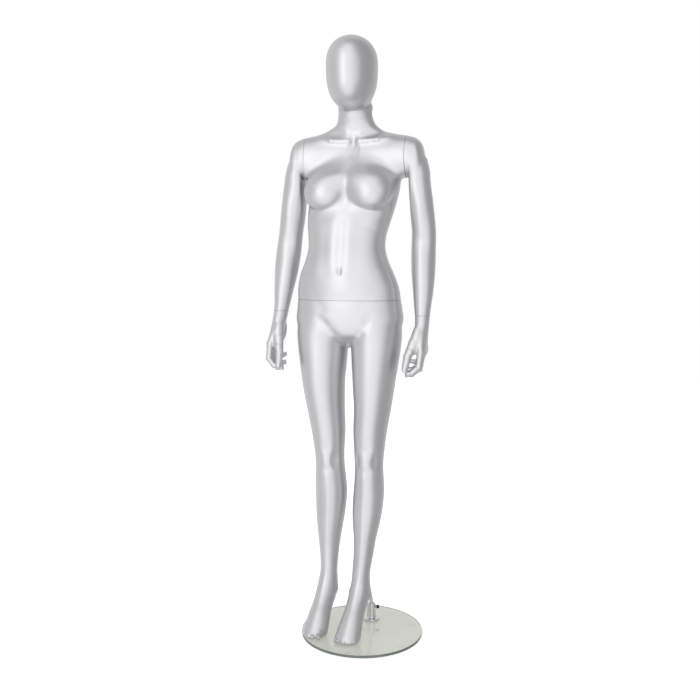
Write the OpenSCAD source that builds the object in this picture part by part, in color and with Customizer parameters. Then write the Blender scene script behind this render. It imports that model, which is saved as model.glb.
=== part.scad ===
// Full body mannequin in silver paint: hollow figure in take-apart pieces on a round glass base.
// Origin: middle of the base, on the floor. The figure faces -Y and its left hand is at +X.

/* [Base] */
// Diameter of the glass base
base_d = 370; // [360:1:400]
// Thickness of the glass
glass_t = 8; // [8:1:10]
// Height of the pads under the glass
pad_h = 3; // [3:0.5:5]
// Diameter of the flange of the rod socket
flange_d = 54; // [48:1:60]

/* [Support rod] */
// Diameter of the rod
rod_d = 12; // [10:0.5:13]
// Lean of the rod's upper part from upright
rod_lean = 20; // [19:0.5:21]
// Depth that the rod reaches into the calf socket
rod_grip = 85; // [60:5:90]

/* [Figure] */
// Wall of the moulded shells
wall = 4; // [3:0.5:5]
// Open line between two pieces of the figure
seam_gap = 0.4; // [0.3:0.1:0.8]
// Height of the waist seam
waist_z = 1025; // [1020:1:1030]
// Distance from the middle of the chest to each shoulder seam
shoulder_s = 149; // [147:1:151]
// Height of the right wrist seam
right_wrist_z = 990; // [985:1:995]
// Height of the left wrist seam
left_wrist_z = 982; // [977:1:987]

/* [Fittings] */
// Thickness of the boards that close the shells
board_t = 8; // [6:1:9]
// Thickness of the steel fitting plates
plate_t = 3; // [2:0.5:3]
// Diameter of the neck peg and the shoulder spindles
peg_d = 16; // [14:1:18]
// Side of the square ends
key_w = 11; // [8:0.5:11]
// Side of the square waist peg
waist_key_w = 22; // [18:1:24]
// Diameter of the wrist pegs
wrist_peg_d = 10; // [8:1:10]
// Running clearance on the radius
run = 0.05; // [0.02:0.01:0.08]

/* [Hidden] */

$fn = 48;
far = 2500;
fit = 0.1;
silver = "#b9bbbe";
steel = "#8d9196";
chrome = "#d5d8db";
board = "#8a6f50";
black = "#1c1c1e";

glass_top = pad_h + glass_t;
gasket_t = 1;
lower_gasket_t = 0.5;
washer_t = 0.6;
bolt_head_t = 1.6;
bolt_r = 4;
flange_t = 4;
socket_h = 46;
socket_floor = 3;
socket_x = 10;
socket_y = 80;
socket_top = glass_top + gasket_t + flange_t + socket_h;
rod_bend_r = 40;
rod_heading = -100;
rod_straight = 118;
calf_tube_r = 9;
calf_plug_t = 6;
// The hole for the calf tube starts well below the calf, and is wider where the collar sits.
calf_hole_below = 30;
calf_hole_l = 115;
collar_room = 2.4;
collar_step = 2.6;
screw_heading = 20;
screw_z = glass_top + 38;

mouth_t = 2.5;

shoulder_x = -18;
shoulder_y = 2;
shoulder_z = 1437;
board_gap = 3;
shoulder_seam_r = 59;
shoulder_board_r = shoulder_seam_r - wall - board_gap;
shoulder_board_flat = 0.87;
shoulder_plate_r = 31;
screw_spread = 34;
sleeve_r = 12.5;
waist_mid = [-38, -11];
waist_spread = 70;
waist_plate_w = 90;
waist_plate_t = plate_t + 2;
neck_plate_r = 26;
neck_sleeve_r = 12;
neck_seam_r = 47;
neck_board_r = neck_seam_r - wall - board_gap;
wrist_board_t = 6;
wrist_flange_r = 13;
neck_pos = [-20, -10, 1591];
neck_lean = 28;
left_wrist = [184, -21, left_wrist_z];
right_wrist = [-247, -21, right_wrist_z];

// Rows of the figure's sections: height, middle x, middle y, half width, front, back, roundness.
torso_rows = [
  [880, -38, -8, 12, 30, 20, 2], [890, -38, -8, 40, 55, 60, 2], [904, -38, -8, 85, 72, 85, 2.1],
  [924, -38, -7, 135, 85, 102, 2.2], [960, -37.5, -7, 158, 93, 108, 2.3],
  [1000, -37.5, -9, 157, 94, 102, 2.3], [1025, -38, -11, 154, 92, 95, 2.25],
  [1060, -39.5, -14, 151, 90, 84, 2.2], [1100, -41.5, -19, 139.5, 87, 72, 2.2],
  [1135, -42, -21, 125, 83, 66, 2.2], [1170, -42, -21, 115, 79, 64, 2.2],
  [1205, -42, -18, 115, 77, 67, 2.2], [1240, -39.5, -13, 121, 80, 74, 2.2],
  [1280, -35, -6, 125.5, 84, 84, 2.3], [1320, -29, 1, 128, 86, 89, 2.3],
  [1350, -24, 5, 129, 84, 88, 2.3], [1380, -20, 8, 131, 79, 85, 2.3],
  [1420, -18, 10, 132, 68, 75, 2.3], [1450, -18, 12, 115, 56, 62, 2.2],
  [1475, -18, 12, 85, 46, 54, 2.1], [1500, -18, 9, 62, 42, 50, 2]
];
neck_rows = [
  [1440, -18, 12, 86, 40, 50, 2], [1475, -18, 12, 90, 44, 52, 2], [1497, -18, 11, 84, 44, 50, 2],
  [1514, -20, 7, 72, 44, 49, 2], [1531, -20.5, 3, 60, 44, 49, 2], [1550, -21, -3, 52, 44, 48, 2],
  [1570, -21.5, -7, 48, 45, 48, 2], [1600, -21.5, -13, 47.5, 46, 48, 2], [1650, -21, -24, 47, 46, 48, 2]
];
// Distance from the middle of the chest, minus height, middle y, half height, front, back.
shoulder_rows = [
  [20, -1450, 10, 76, 52, 56, 2], [60, -1448, 8, 69, 54, 57, 2], [90, -1445, 6, 68, 54, 56, 2],
  [120, -1441, 4, 65, 53, 54, 2], [149, -1437, 2, 59, 51, 51, 2.1], [170, -1432, 1, 56, 48, 48, 2.1],
  [188, -1428, 0, 48, 41, 41, 2.1], [199, -1425, 0, 34, 30, 30, 2], [206, -1423, 0, 10, 10, 10, 2]
];
left_leg_rows = [
  [120, -3.5, -9, 29, 44, 38, 2], [150, -3.5, -2, 28.5, 38, 36, 2], [184, -4, 3, 27, 31, 34, 2],
  [222, 0, 5, 28.5, 32, 36, 2], [260, 4.5, 5, 31, 36, 41, 2], [298, 8, 4, 34, 40, 47, 2],
  [336, 11.5, 3, 39.5, 44, 53, 2], [373, 15, 1, 44, 47, 57, 2], [410, 18, -1, 45.5, 49, 56, 2],
  [448, 21.5, -4, 45, 51, 50, 2], [485, 24, -8, 43, 53, 46, 2], [522, 24, -10, 42.5, 52, 47, 2],
  [559, 24, -10, 44, 52, 51, 2], [632, 27, -10, 50, 59, 60, 2], [705, 34.5, -11, 55.5, 67, 66, 2],
  [778, 38.5, -12, 63, 74, 72, 2], [850, 42, -10, 70, 80, 80, 2], [900, 43, -8, 76, 84, 90, 2],
  [940, 38, -8, 81, 86, 96, 2], [980, 30, -8, 82, 80, 90, 2]
];
right_leg_rows = [
  [120, -112.5, 9, 29, 44, 38, 2], [150, -112, 16, 28.5, 38, 36, 2], [184, -111.5, 20, 26, 30, 33, 2],
  [222, -110.5, 21, 27.5, 31, 35, 2], [260, -109.5, 20, 31, 35, 40, 2], [298, -107.5, 17, 35.5, 40, 47, 2],
  [336, -105, 13, 40, 44, 53, 2], [373, -102, 9, 44, 47, 57, 2], [410, -98.5, 4, 46.5, 49, 56, 2],
  [448, -96.5, -2, 48, 51, 51, 2], [485, -96.5, -6, 46.5, 53, 47, 2], [522, -97.5, -8, 43.5, 52, 47, 2],
  [559, -99.5, -8, 44, 52, 51, 2], [632, -103.5, -8, 51, 59, 60, 2], [705, -111, -10, 57, 67, 66, 2],
  [778, -116.5, -12, 64, 74, 72, 2], [850, -118, -10, 71, 80, 80, 2], [900, -119, -8, 76, 84, 90, 2],
  [940, -114, -8, 81, 86, 96, 2], [980, -106, -8, 82, 80, 90, 2]
];
// Height, then measures from the ankle, with the toes towards -y.
foot_rows = [
  [11.4, 0, -98, 31, 24, 18, 2.2], [15, 0, -98, 36, 36, 24, 2.2], [22, 0, -96, 38, 40, 26, 2.2],
  [30, 0, -92, 38, 41, 27, 2.1], [42, 0, -84, 37, 41, 27, 2], [55, 0, -74, 35, 41, 29, 2],
  [70, 0, -62, 33, 41, 33, 2], [85, 0, -48, 31, 43, 40, 2], [100, 0, -32, 31, 46, 49, 2],
  [118, 0, -17, 31, 47, 50, 2], [140, 0, -9, 30, 42, 43, 2], [165, 0, -3, 27, 35, 34, 2]
];
left_foot_pos = [-3.5, 1];
left_foot_turn = -9;
right_foot_pos = [-112, 19];
right_foot_turn = -8;
toe_sizes = [[-24, 10.5, -128], [-7, 8.5, -133], [6, 8, -130], [18, 7.5, -124], [29, 7.5, -116]];
left_arm_rows = [
  [970, 184, -24, 21, 24, 24, 2], [990, 183.5, -20, 22.5, 25, 25, 2], [1011, 183, -15, 25, 27, 27, 2],
  [1047, 182.5, -6, 29, 31, 30, 2], [1082, 181, 3, 32.5, 35, 33, 2], [1117, 179.5, 10, 35, 37, 35, 2],
  [1170, 178.5, 14, 36, 36, 36, 2], [1223, 180, 10, 35, 35, 35, 2], [1292, 174, 5, 35.5, 37, 38, 2],
  [1361, 165.5, 2, 36, 40, 42, 2], [1396, 163, 1, 35, 42, 44, 2], [1440, 154, 0, 34, 42, 44, 2]
];
right_arm_rows = [
  [970, -248.5, -25, 21, 24, 24, 2], [990, -247, -21, 21.5, 25, 25, 2], [1011, -245, -15, 23.5, 27, 27, 2],
  [1047, -243.5, -6, 28, 31, 30, 2], [1082, -241, 3, 32.5, 35, 33, 2], [1117, -238.5, 10, 36, 37, 35, 2],
  [1170, -232.5, 14, 37.5, 36, 36, 2], [1223, -224, 10, 36, 35, 35, 2], [1292, -215, 5, 36, 37, 38, 2],
  [1361, -204.5, 2, 36, 40, 42, 2], [1396, -199, 1, 35, 42, 44, 2], [1440, -190, 0, 34, 42, 44, 2]
];
// Height below the wrist seam, with the palm towards -x and the thumb towards -y.
palm_rows = [
  [-118, 4, 0, 9, 34, 33, 2.3], [-110, 5, 0, 12.5, 38, 37, 2.3], [-98, 5, -1, 15, 39, 38, 2.3],
  [-80, 3.5, -1, 16.5, 36, 35, 2.2], [-60, 2, -1, 18, 31, 30, 2.1], [-40, 1, 0, 19, 26, 26, 2],
  [-20, 0, 0, 20.5, 24.5, 24.5, 2], [0, 0, 0, 21.5, 25, 25, 2]
];
// Knuckle y and z, radius, and the three bone lengths of each finger.
fingers = [
  [-29, -106, 9.5, 40, 26, 21], [-10, -111, 9.5, 44, 28, 22],
  [9, -107, 9, 41, 26, 21], [26, -99, 8, 33, 20, 18]
];
left_finger_bends = [5, 43, 70];
right_finger_bends = [6, 48, 84];
thumb_points = [[-2, -14, -38, 13], [-17, -28, -78, 13.5], [-30, -38, -120, 11.5], [-35, -40, -155, 9.5]];
left_hand_tilt = 3;
right_hand_tilt = 11;
head_mid = [-21, -42, 1684];

function span(rows, z, i = 0) = i >= len(rows) - 2 || z < rows[i + 1][0] ? i : span(rows, z, i + 1);
function slope(rows, i) =
  let (a = rows[max(i - 1, 0)], b = rows[min(i + 1, len(rows) - 1)]) (b - a) / (b[0] - a[0]);
// Smooth section at height z, between the rows above and below it.
function section(rows, z) =
  let (i = span(rows, z), p = rows[i], q = rows[i + 1], h = q[0] - p[0], t = (z - p[0]) / h)
  p * (2 * t ^ 3 - 3 * t ^ 2 + 1) + q * (3 * t ^ 2 - 2 * t ^ 3)
  + slope(rows, i) * h * (t ^ 3 - 2 * t ^ 2 + t) + slope(rows, i + 1) * h * (t ^ 3 - t ^ 2);
function signed_power(v, e) = sign(v) * abs(v) ^ e;
function outline(s, inset, sides) = [
  for (k = [0:sides - 1])
    let (c = cos(360 * k / sides), n = sin(360 * k / sides), e = 2 / s[6], d = n < 0 ? s[4] : s[5])
    [s[1] + (s[3] - inset) * signed_power(c, e), s[2] + (d - inset) * signed_power(n, e)]
];
function levels(low, high, steps) = [for (k = [0:steps]) low + (high - low) * k / steps];
function ring_faces(rings, sides) = concat(
  [[for (k = [0:sides - 1]) k]],
  [for (r = [0:rings - 2], k = [0:sides - 1])
    let (a = r * sides + k, b = r * sides + (k + 1) % sides) [a, a + sides, b + sides]],
  [for (r = [0:rings - 2], k = [0:sides - 1])
    let (a = r * sides + k, b = r * sides + (k + 1) % sides) [a, b + sides, b]],
  [[for (k = [sides - 1:-1:0]) (rings - 1) * sides + k]]
);

// Solid through the sections at the given heights, set in by inset.
module loft(rows, heights, sides, inset = 0) {
  points = [
    for (z = heights, p = outline(section(rows, z), inset, sides)) [p[0], p[1], z]
  ];
  polyhedron(points, ring_faces(len(heights), sides), convexity = 6);
}
module egg(pos, radii, inset = 0, sides = 24) {
  translate(pos) scale([for (r = radii) r - inset]) sphere(1, $fn = sides);
}
// One plain mesh for a moulded form.
module moulded() {
  resize([0, 0, 0]) children();
}
module link(a, b) {
  hull() {
    translate([a[0], a[1], a[2]]) sphere(a[3], $fn = 10);
    translate([b[0], b[1], b[2]]) sphere(b[3], $fn = 10);
  }
}

module shoulder_form(side, inset = 0, steps = 14, sides = 32) {
  translate([shoulder_x, 0, 0]) mirror([side < 0 ? 1 : 0, 0, 0])
    rotate([0, 90, 0]) loft(shoulder_rows, levels(20, 206, steps), sides, inset);
}
module above_plane(z) {
  translate([-far / 2, -far / 2, z]) cube([far, far, far]);
}
module below_plane(z) {
  translate([-far / 2, -far / 2, z - far]) cube([far, far, far]);
}
module at_neck(offset = 0) {
  translate(neck_pos) rotate([neck_lean, 0, 0]) translate([0, 0, offset]) children();
}
module inside_shoulders(offset) {
  armpit_low = 1250;
  translate([shoulder_x - shoulder_s + offset, -far / 2, armpit_low - 1])
    cube([2 * (shoulder_s - offset), far, far]);
  below_plane(armpit_low);
}

module torso_form(inset, steps, sides) {
  fine = inset == 0;
  loft(torso_rows, levels(1005, 1498, steps), sides, inset);
  for (side = [-1, 1]) {
    shoulder_form(side, inset, fine ? 8 : 5, fine ? 22 : 12);
    egg([-31 + side * 69, -54, 1328], [62, 54, 56], inset, fine ? 20 : 12);
    egg([-22 + side * 66, 50, 1375], [52, 42, 66], inset, 12);
  }
  loft(neck_rows, levels(1450, 1630, fine ? 8 : 4), fine ? 22 : 12, inset);
}
module torso_shell() {
  color(silver) moulded() difference() {
    intersection() {
      torso_form(0, 19, 30);
      above_plane(waist_z + seam_gap / 2);
      inside_shoulders(seam_gap / 2);
      at_neck(-seam_gap / 2) below_plane(0);
    }
    torso_form(wall, 8, 14);
    waist_rebate(waist_z - 1, waist_plate_t + board_t + 1, waist_plate_t + board_t);
    for (side = [-1, 1])
      at_shoulder(side, -plate_t - 1 - board_t - fit) linear_extrude(30) shoulder_outline(-fit);
    at_neck(-6 - board_t - fit) cylinder(r = neck_board_r + fit, h = 30);
  }
}

module leg_form(rows, foot_pos, foot_turn, mirrored, inset, steps, sides) {
  loft(rows, levels(inset > 0 ? 130 : 122, 978, steps), sides, inset);
  if (inset == 0) translate(foot_pos) rotate([0, 0, foot_turn]) mirror([mirrored ? 1 : 0, 0, 0]) {
    loft(foot_rows, [11.4, 14, 20, 28, 38, 50, 64, 80, 96, 112, 128, 145, 165], 18);
    for (toe = toe_sizes)
      hull() {
        translate([toe[0], toe[2], glass_top + 0.4 + toe[1] * 0.85]) scale([1, 1.15, 0.85])
          sphere(toe[1], $fn = 10);
        translate([toe[0] * 0.9, toe[2] + 34, glass_top + 14]) sphere(toe[1], $fn = 8);
      }
  }
}
module legs_form(inset, steps, sides) {
  loft(torso_rows, levels(881, 1045, inset > 0 ? 5 : 10), inset > 0 ? 14 : 30, inset);
  leg_form(left_leg_rows, left_foot_pos, left_foot_turn, false, inset, steps, sides);
  leg_form(right_leg_rows, right_foot_pos, right_foot_turn, true, inset, steps, sides);
  for (side = [-1, 1]) egg([-38 + side * 68, 50, 935], [76, 60, 82], inset, inset > 0 ? 12 : 18);
}
module legs_shell() {
  color(silver) moulded() difference() {
    intersection() {
      legs_form(0, 30, 20);
      below_plane(waist_z - seam_gap / 2);
    }
    legs_form(wall, 13, 12);
    waist_rebate(waist_z - waist_plate_t - board_t - fit, waist_plate_t + board_t + 1, -board_t);
    on_rod_axis(rod_straight - calf_hole_below) {
      cylinder(r = calf_tube_r + 0.3, h = calf_hole_l);
      cylinder(r = calf_tube_r + collar_room, h = calf_hole_below - collar_step);
    }
  }
}

module arm_form(side, inset, steps, sides) {
  rows = side > 0 ? left_arm_rows : right_arm_rows;
  loft(rows, levels(972, 1436, steps), sides, inset);
  shoulder_form(side, inset, inset > 0 ? 6 : 11, inset > 0 ? 12 : 22);
}
module arm_shell(side) {
  wrist = side > 0 ? left_wrist_z : right_wrist_z;
  rows = side > 0 ? left_arm_rows : right_arm_rows;
  seam_x = shoulder_x + side * (shoulder_s + seam_gap / 2);
  color(silver) moulded() difference() {
    intersection() {
      arm_form(side, 0, 20, 18);
      above_plane(wrist + seam_gap / 2);
      translate([side > 0 ? seam_x : seam_x - far, -far / 2, 0]) cube([far, far, far]);
    }
    arm_form(side, wall, 9, 10);
    at_shoulder(side, -1) linear_extrude(plate_t + 2 + board_t + fit) shoulder_outline(-fit);
    translate([0, 0, wrist - 1]) opening_board(rows, wrist + 4, wall + 1 - fit, wrist_board_t + 5 + fit);
  }
}
module left_arm_shell() {
  arm_shell(1);
}
module right_arm_shell() {
  arm_shell(-1);
}

// Points down one finger, from the knuckle, as x, y, z and radius.
function finger_chain(f, b) =
  let (p0 = [6, f[0], f[1]],
    p1 = p0 - f[3] * [sin(b[0]), 0, cos(b[0])],
    p2 = p1 - f[4] * [sin(b[1]), 0, cos(b[1])],
    p3 = p2 - (f[5] - f[2]) * [sin(b[2]), 0, cos(b[2])])
  [[p0[0], p0[1], p0[2], f[2] + 1], [p1[0], p1[1], p1[2], f[2]],
   [p2[0], p2[1], p2[2], f[2] - 1], [p3[0], p3[1], p3[2], f[2] - 1.8]];
module chain(points) {
  for (k = [0:len(points) - 2]) link(points[k], points[k + 1]);
}
module hand(side) {
  wrist = side > 0 ? left_wrist : right_wrist;
  tilt = side > 0 ? left_hand_tilt : right_hand_tilt;
  color(silver) moulded() difference() {
    intersection() {
      translate(wrist) rotate([0, tilt, 0]) mirror([side < 0 ? 1 : 0, 0, 0]) {
        loft(palm_rows, levels(-118, 0, 9), 16);
        for (f = fingers) chain(finger_chain(f, side > 0 ? left_finger_bends : right_finger_bends));
        chain(thumb_points);
      }
      below_plane(wrist[2] - seam_gap / 2);
    }
    translate(wrist) {
      translate([0, 0, -4.2]) cylinder(r = 13.3, h = 20);
      translate([0, 0, -26]) cylinder(d = wrist_peg_d + 0.2, h = 30);
    }
  }
}
module left_hand() {
  hand(1);
}
module right_hand() {
  hand(-1);
}

// Carries its children to the lean part of the rod, at a distance along it from the bend.
module on_rod_axis(along) {
  translate([socket_x, socket_y, socket_top - 2]) rotate([0, 0, rod_heading])
    translate([rod_bend_r * (1 - cos(rod_lean)), 0, rod_bend_r * sin(rod_lean)])
      rotate([0, rod_lean, 0]) translate([0, 0, along]) children();
}
module at_socket(z) {
  translate([socket_x, socket_y, z]) children();
}
module at_screw(out) {
  at_socket(screw_z) rotate([0, 0, screw_heading]) rotate([0, 90, 0]) translate([0, 0, out]) children();
}

module glass_base() {
  edge = 0.8;
  color("#bfc9c2", 0.6) difference() {
    translate([0, 0, pad_h]) rotate_extrude($fn = 160) polygon([
      [0, 0], [base_d / 2 - edge, 0], [base_d / 2, edge], [base_d / 2, glass_t - edge],
      [base_d / 2 - edge, glass_t], [0, glass_t]
    ]);
    at_socket(0) cylinder(r = bolt_r + 1, h = glass_top + 1);
  }
}
module base_pads() {
  rim_pads = 6;
  pad_r = 10;
  color("#e6e8e6") {
    cylinder(r = pad_r, h = pad_h);
    for (k = [0:rim_pads - 1]) rotate([0, 0, 30 + 360 * k / rim_pads])
      translate([base_d / 2 - 25, 0, 0]) cylinder(r = pad_r, h = pad_h);
  }
}
module rod_socket() {
  flange_z = glass_top + gasket_t;
  color(chrome) difference() {
    union() {
      at_socket(flange_z) cylinder(d = flange_d, h = flange_t - 1.5);
      at_socket(flange_z + flange_t - 1.5) cylinder(d1 = flange_d, d2 = flange_d - 4, h = 1.5);
      at_socket(flange_z + flange_t) cylinder(d1 = 29, d2 = 25, h = socket_h);
    }
    at_socket(flange_z + flange_t + socket_floor) cylinder(r = rod_d / 2 + run, h = socket_h);
    at_socket(socket_top - mouth_t) cylinder(r1 = rod_d / 2 + run, r2 = rod_d / 2 + 1, h = mouth_t + 0.01);
    at_socket(flange_z - 1) cylinder(r = bolt_r + run, h = flange_t + 2);
    at_screw(0) cylinder(r = 3 + run, h = 30);
  }
}
module bolt_ring(z, r, h) {
  at_socket(z) difference() {
    cylinder(r = r, h = h);
    translate([0, 0, -1]) cylinder(r = bolt_r + 1, h = h + 2);
  }
}
module socket_gasket() {
  color(black) bolt_ring(glass_top, flange_d / 2 - 2, gasket_t);
}
module lower_gasket() {
  color(black) bolt_ring(pad_h - lower_gasket_t, 14, lower_gasket_t);
}
module clamp_washer() {
  color(steel) bolt_ring(pad_h - lower_gasket_t - washer_t, 14, washer_t);
}
module flange_bolt() {
  head_top = pad_h - lower_gasket_t - washer_t;
  color(steel) at_socket(head_top - bolt_head_t) difference() {
    union() {
      cylinder(r = 8, h = bolt_head_t);
      cylinder(r = bolt_r, h = glass_top + gasket_t + flange_t - head_top + bolt_head_t - 0.5);
    }
    translate([0, 0, -1]) cylinder(r = 2.5, h = 2, $fn = 6);
  }
}
module clamp_screw() {
  color(chrome) at_screw(rod_d / 2 + 0.1) cylinder(r = 3, h = 17);
}
module clamp_knob() {
  grips = 8;
  color(black) at_screw(rod_d / 2 + 10) difference() {
    cylinder(r = 5.5, h = 9);
    translate([0, 0, -1]) cylinder(r = 3, h = 8.1);
    for (k = [0:grips - 1]) rotate([0, 0, 360 * k / grips]) translate([6.2, 0, -1])
      cylinder(r = 1.2, h = 11, $fn = 16);
  }
}
module support_rod() {
  low = glass_top + gasket_t + flange_t + socket_floor + 0.2;
  color(chrome) {
    at_socket(low) cylinder(d = rod_d, h = socket_top - 2 - low);
    translate([socket_x, socket_y, socket_top - 2]) rotate([0, 0, rod_heading])
      translate([rod_bend_r, 0, 0]) rotate([90, 0, 0]) rotate([0, 0, 180 - rod_lean])
        rotate_extrude(angle = rod_lean) translate([rod_bend_r, 0]) circle(d = rod_d);
    on_rod_axis(0) cylinder(d = rod_d, h = rod_straight + rod_grip);
  }
}
module calf_socket() {
  color(chrome) on_rod_axis(rod_straight - 6) difference() {
    union() {
      cylinder(r = calf_tube_r, h = rod_grip + 6 + calf_plug_t);
      cylinder(r1 = calf_tube_r + 1, r2 = calf_tube_r + 2, h = 3);
    }
    translate([0, 0, -1]) cylinder(r = rod_d / 2 + run, h = rod_grip + calf_plug_t + 10);
  }
}
module calf_plug() {
  color(steel) on_rod_axis(rod_straight + rod_grip + 0.1) cylinder(d = rod_d, h = calf_plug_t - 0.2);
}

// Flat board with the outline of a shell's opening, at height z.
module opening_board(rows, z, inset, h) {
  linear_extrude(h) polygon(outline(section(rows, z), inset, 48));
}
module corner_screws(spread, r, h) {
  for (x = [-1, 1], y = [-1, 1]) translate([x * spread / 2, y * spread / 2, 0]) cylinder(r = r, h = h);
}
// Flat-headed screws, heads up, with their head tops at zero.
module board_screws(spread, depth) {
  for (x = [-1, 1], y = [-1, 1]) translate([x * spread / 2, y * spread / 2, 0]) {
    translate([0, 0, -depth]) cylinder(r = 2, h = depth);
    translate([0, 0, -2]) cylinder(r1 = 2, r2 = 4, h = 2);
  }
}
module board_screw_holes(spread) {
  for (x = [-1, 1], y = [-1, 1]) translate([x * spread / 2, y * spread / 2, 0]) {
    translate([0, 0, -30]) cylinder(r = 2 + fit, h = 31);
    translate([0, 0, -2]) cylinder(r1 = 2 + fit, r2 = 4 + fit, h = 2.01);
  }
}

// Step inside a shell at the waist seam, from height low, that takes the board.
module waist_rebate(low, h, section_z) {
  translate([0, 0, low]) opening_board(torso_rows, waist_z + section_z, wall + 1.5 - fit, h + 2 * fit);
}
module at_waist(z) {
  translate([waist_mid[0], waist_mid[1], waist_z + z]) children();
}
module legs_board() {
  color(board) difference() {
    translate([0, 0, waist_z - waist_plate_t - board_t])
      opening_board(torso_rows, waist_z - board_t, wall + 1.5, board_t);
    at_waist(-waist_plate_t - board_t - 1) cylinder(d = waist_key_w * 1.42 + 8.4, h = board_t + 2);
    at_waist(-waist_plate_t - board_t - 1) corner_screws(waist_spread, 2 + fit, board_t + 2);
  }
}
module waist_socket() {
  color(steel) at_waist(-waist_plate_t) difference() {
    union() {
      translate([-waist_plate_w / 2, -waist_plate_w / 2, 0])
        cube([waist_plate_w, waist_plate_w, waist_plate_t - 0.1]);
      translate([0, 0, -45]) cylinder(d = waist_key_w * 1.42 + 8, h = 46);
    }
    translate([-waist_key_w / 2 - fit, -waist_key_w / 2 - fit, -50])
      cube([waist_key_w + 2 * fit, waist_key_w + 2 * fit, 60]);
    translate([0, 0, waist_plate_t - 0.1]) board_screw_holes(waist_spread);
  }
}
module waist_socket_screws() {
  color(steel) at_waist(-0.1) board_screws(waist_spread, waist_plate_t + board_t - 1);
}
module torso_board() {
  color(board) difference() {
    translate([0, 0, waist_z + waist_plate_t])
      opening_board(torso_rows, waist_z + waist_plate_t + board_t, wall + 1.5, board_t);
    at_waist(waist_plate_t - 1) corner_screws(waist_spread, 2 + fit, board_t + 2);
  }
}
module waist_peg() {
  color(steel) at_waist(0.1) difference() {
    union() {
      translate([-waist_plate_w / 2, -waist_plate_w / 2, 0])
        cube([waist_plate_w, waist_plate_w, waist_plate_t - 0.1]);
      translate([-waist_key_w / 2, -waist_key_w / 2, -42]) cube([waist_key_w, waist_key_w, 43]);
    }
    mirror([0, 0, 1]) board_screw_holes(waist_spread);
  }
}
module waist_peg_screws() {
  color(steel) at_waist(0.1) mirror([0, 0, 1]) board_screws(waist_spread, waist_plate_t + board_t - 1);
}

// Carries its children to a shoulder seam, with +z pointing out of the chest.
module at_shoulder(side, out) {
  translate([shoulder_x + side * (shoulder_s + out), shoulder_y, shoulder_z])
    rotate([0, side * 90, 0]) children();
}
// Outline of the boards at a shoulder, inside the moulded wall.
module shoulder_outline(inset) {
  scale([1, shoulder_board_flat]) circle(r = shoulder_board_r - inset, $fn = 48);
}
module shoulder_disc(side, out, h) {
  at_shoulder(side, out) difference() {
    linear_extrude(h) shoulder_outline(0);
    translate([0, 0, -1]) cylinder(r = sleeve_r + fit, h = h + 2);
    translate([0, 0, -1]) corner_screws(screw_spread, 2 + fit, h + 2);
  }
}
module shoulder_board(side) {
  color(board) shoulder_disc(side, -plate_t - 1 - board_t, board_t);
}
module left_shoulder_board() {
  shoulder_board(1);
}
module right_shoulder_board() {
  shoulder_board(-1);
}
module shoulder_socket(side) {
  color(steel) at_shoulder(side, -1) difference() {
    union() {
      translate([0, 0, -plate_t]) cylinder(r = shoulder_plate_r, h = plate_t);
      translate([0, 0, -plate_t - 30]) cylinder(r = sleeve_r, h = 31);
    }
    translate([0, 0, -50]) cylinder(r = peg_d / 2 + run, h = 60);
    board_screw_holes(screw_spread);
  }
}
module left_shoulder_socket() {
  shoulder_socket(1);
}
module right_shoulder_socket() {
  shoulder_socket(-1);
}
module left_shoulder_screws() {
  color(steel) at_shoulder(1, -1) board_screws(screw_spread, plate_t + board_t - 1);
}
module right_shoulder_screws() {
  color(steel) at_shoulder(-1, -1) board_screws(screw_spread, plate_t + board_t - 1);
}
module spindle(side) {
  color(steel) at_shoulder(side, 0) {
    translate([0, 0, -39]) cylinder(d = peg_d, h = 39.2);
    translate([0, 0, -42]) cylinder(d = peg_d - 6, h = 4);
    translate([-key_w / 2, -key_w / 2, 0]) cube([key_w, key_w, 24]);
  }
}
module left_spindle() {
  spindle(1);
}
module right_spindle() {
  spindle(-1);
}
module spindle_ring(side) {
  color(steel) at_shoulder(side, -37.4) difference() {
    translate([0, 0, -0.1]) cylinder(d = peg_d + 8, h = 2.5);
    translate([0, 0, -1]) cylinder(d = peg_d + 0.02, h = 5);
  }
}
module left_spindle_ring() {
  spindle_ring(1);
}
module right_spindle_ring() {
  spindle_ring(-1);
}
module arm_board(side) {
  color(board) shoulder_disc(side, plate_t + 1, board_t);
}
module left_arm_board() {
  arm_board(1);
}
module right_arm_board() {
  arm_board(-1);
}
module arm_key(side) {
  color(steel) at_shoulder(side, 1) difference() {
    union() {
      cylinder(r = shoulder_plate_r, h = plate_t);
      cylinder(r = sleeve_r, h = 28);
    }
    translate([-key_w / 2 - fit, -key_w / 2 - fit, -5]) cube([key_w + 2 * fit, key_w + 2 * fit, 40]);
    mirror([0, 0, 1]) board_screw_holes(screw_spread);
  }
}
module left_arm_key() {
  arm_key(1);
}
module right_arm_key() {
  arm_key(-1);
}
module left_arm_screws() {
  color(steel) at_shoulder(1, 1) mirror([0, 0, 1]) board_screws(screw_spread, plate_t + board_t - 1);
}
module right_arm_screws() {
  color(steel) at_shoulder(-1, 1) mirror([0, 0, 1]) board_screws(screw_spread, plate_t + board_t - 1);
}

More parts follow.
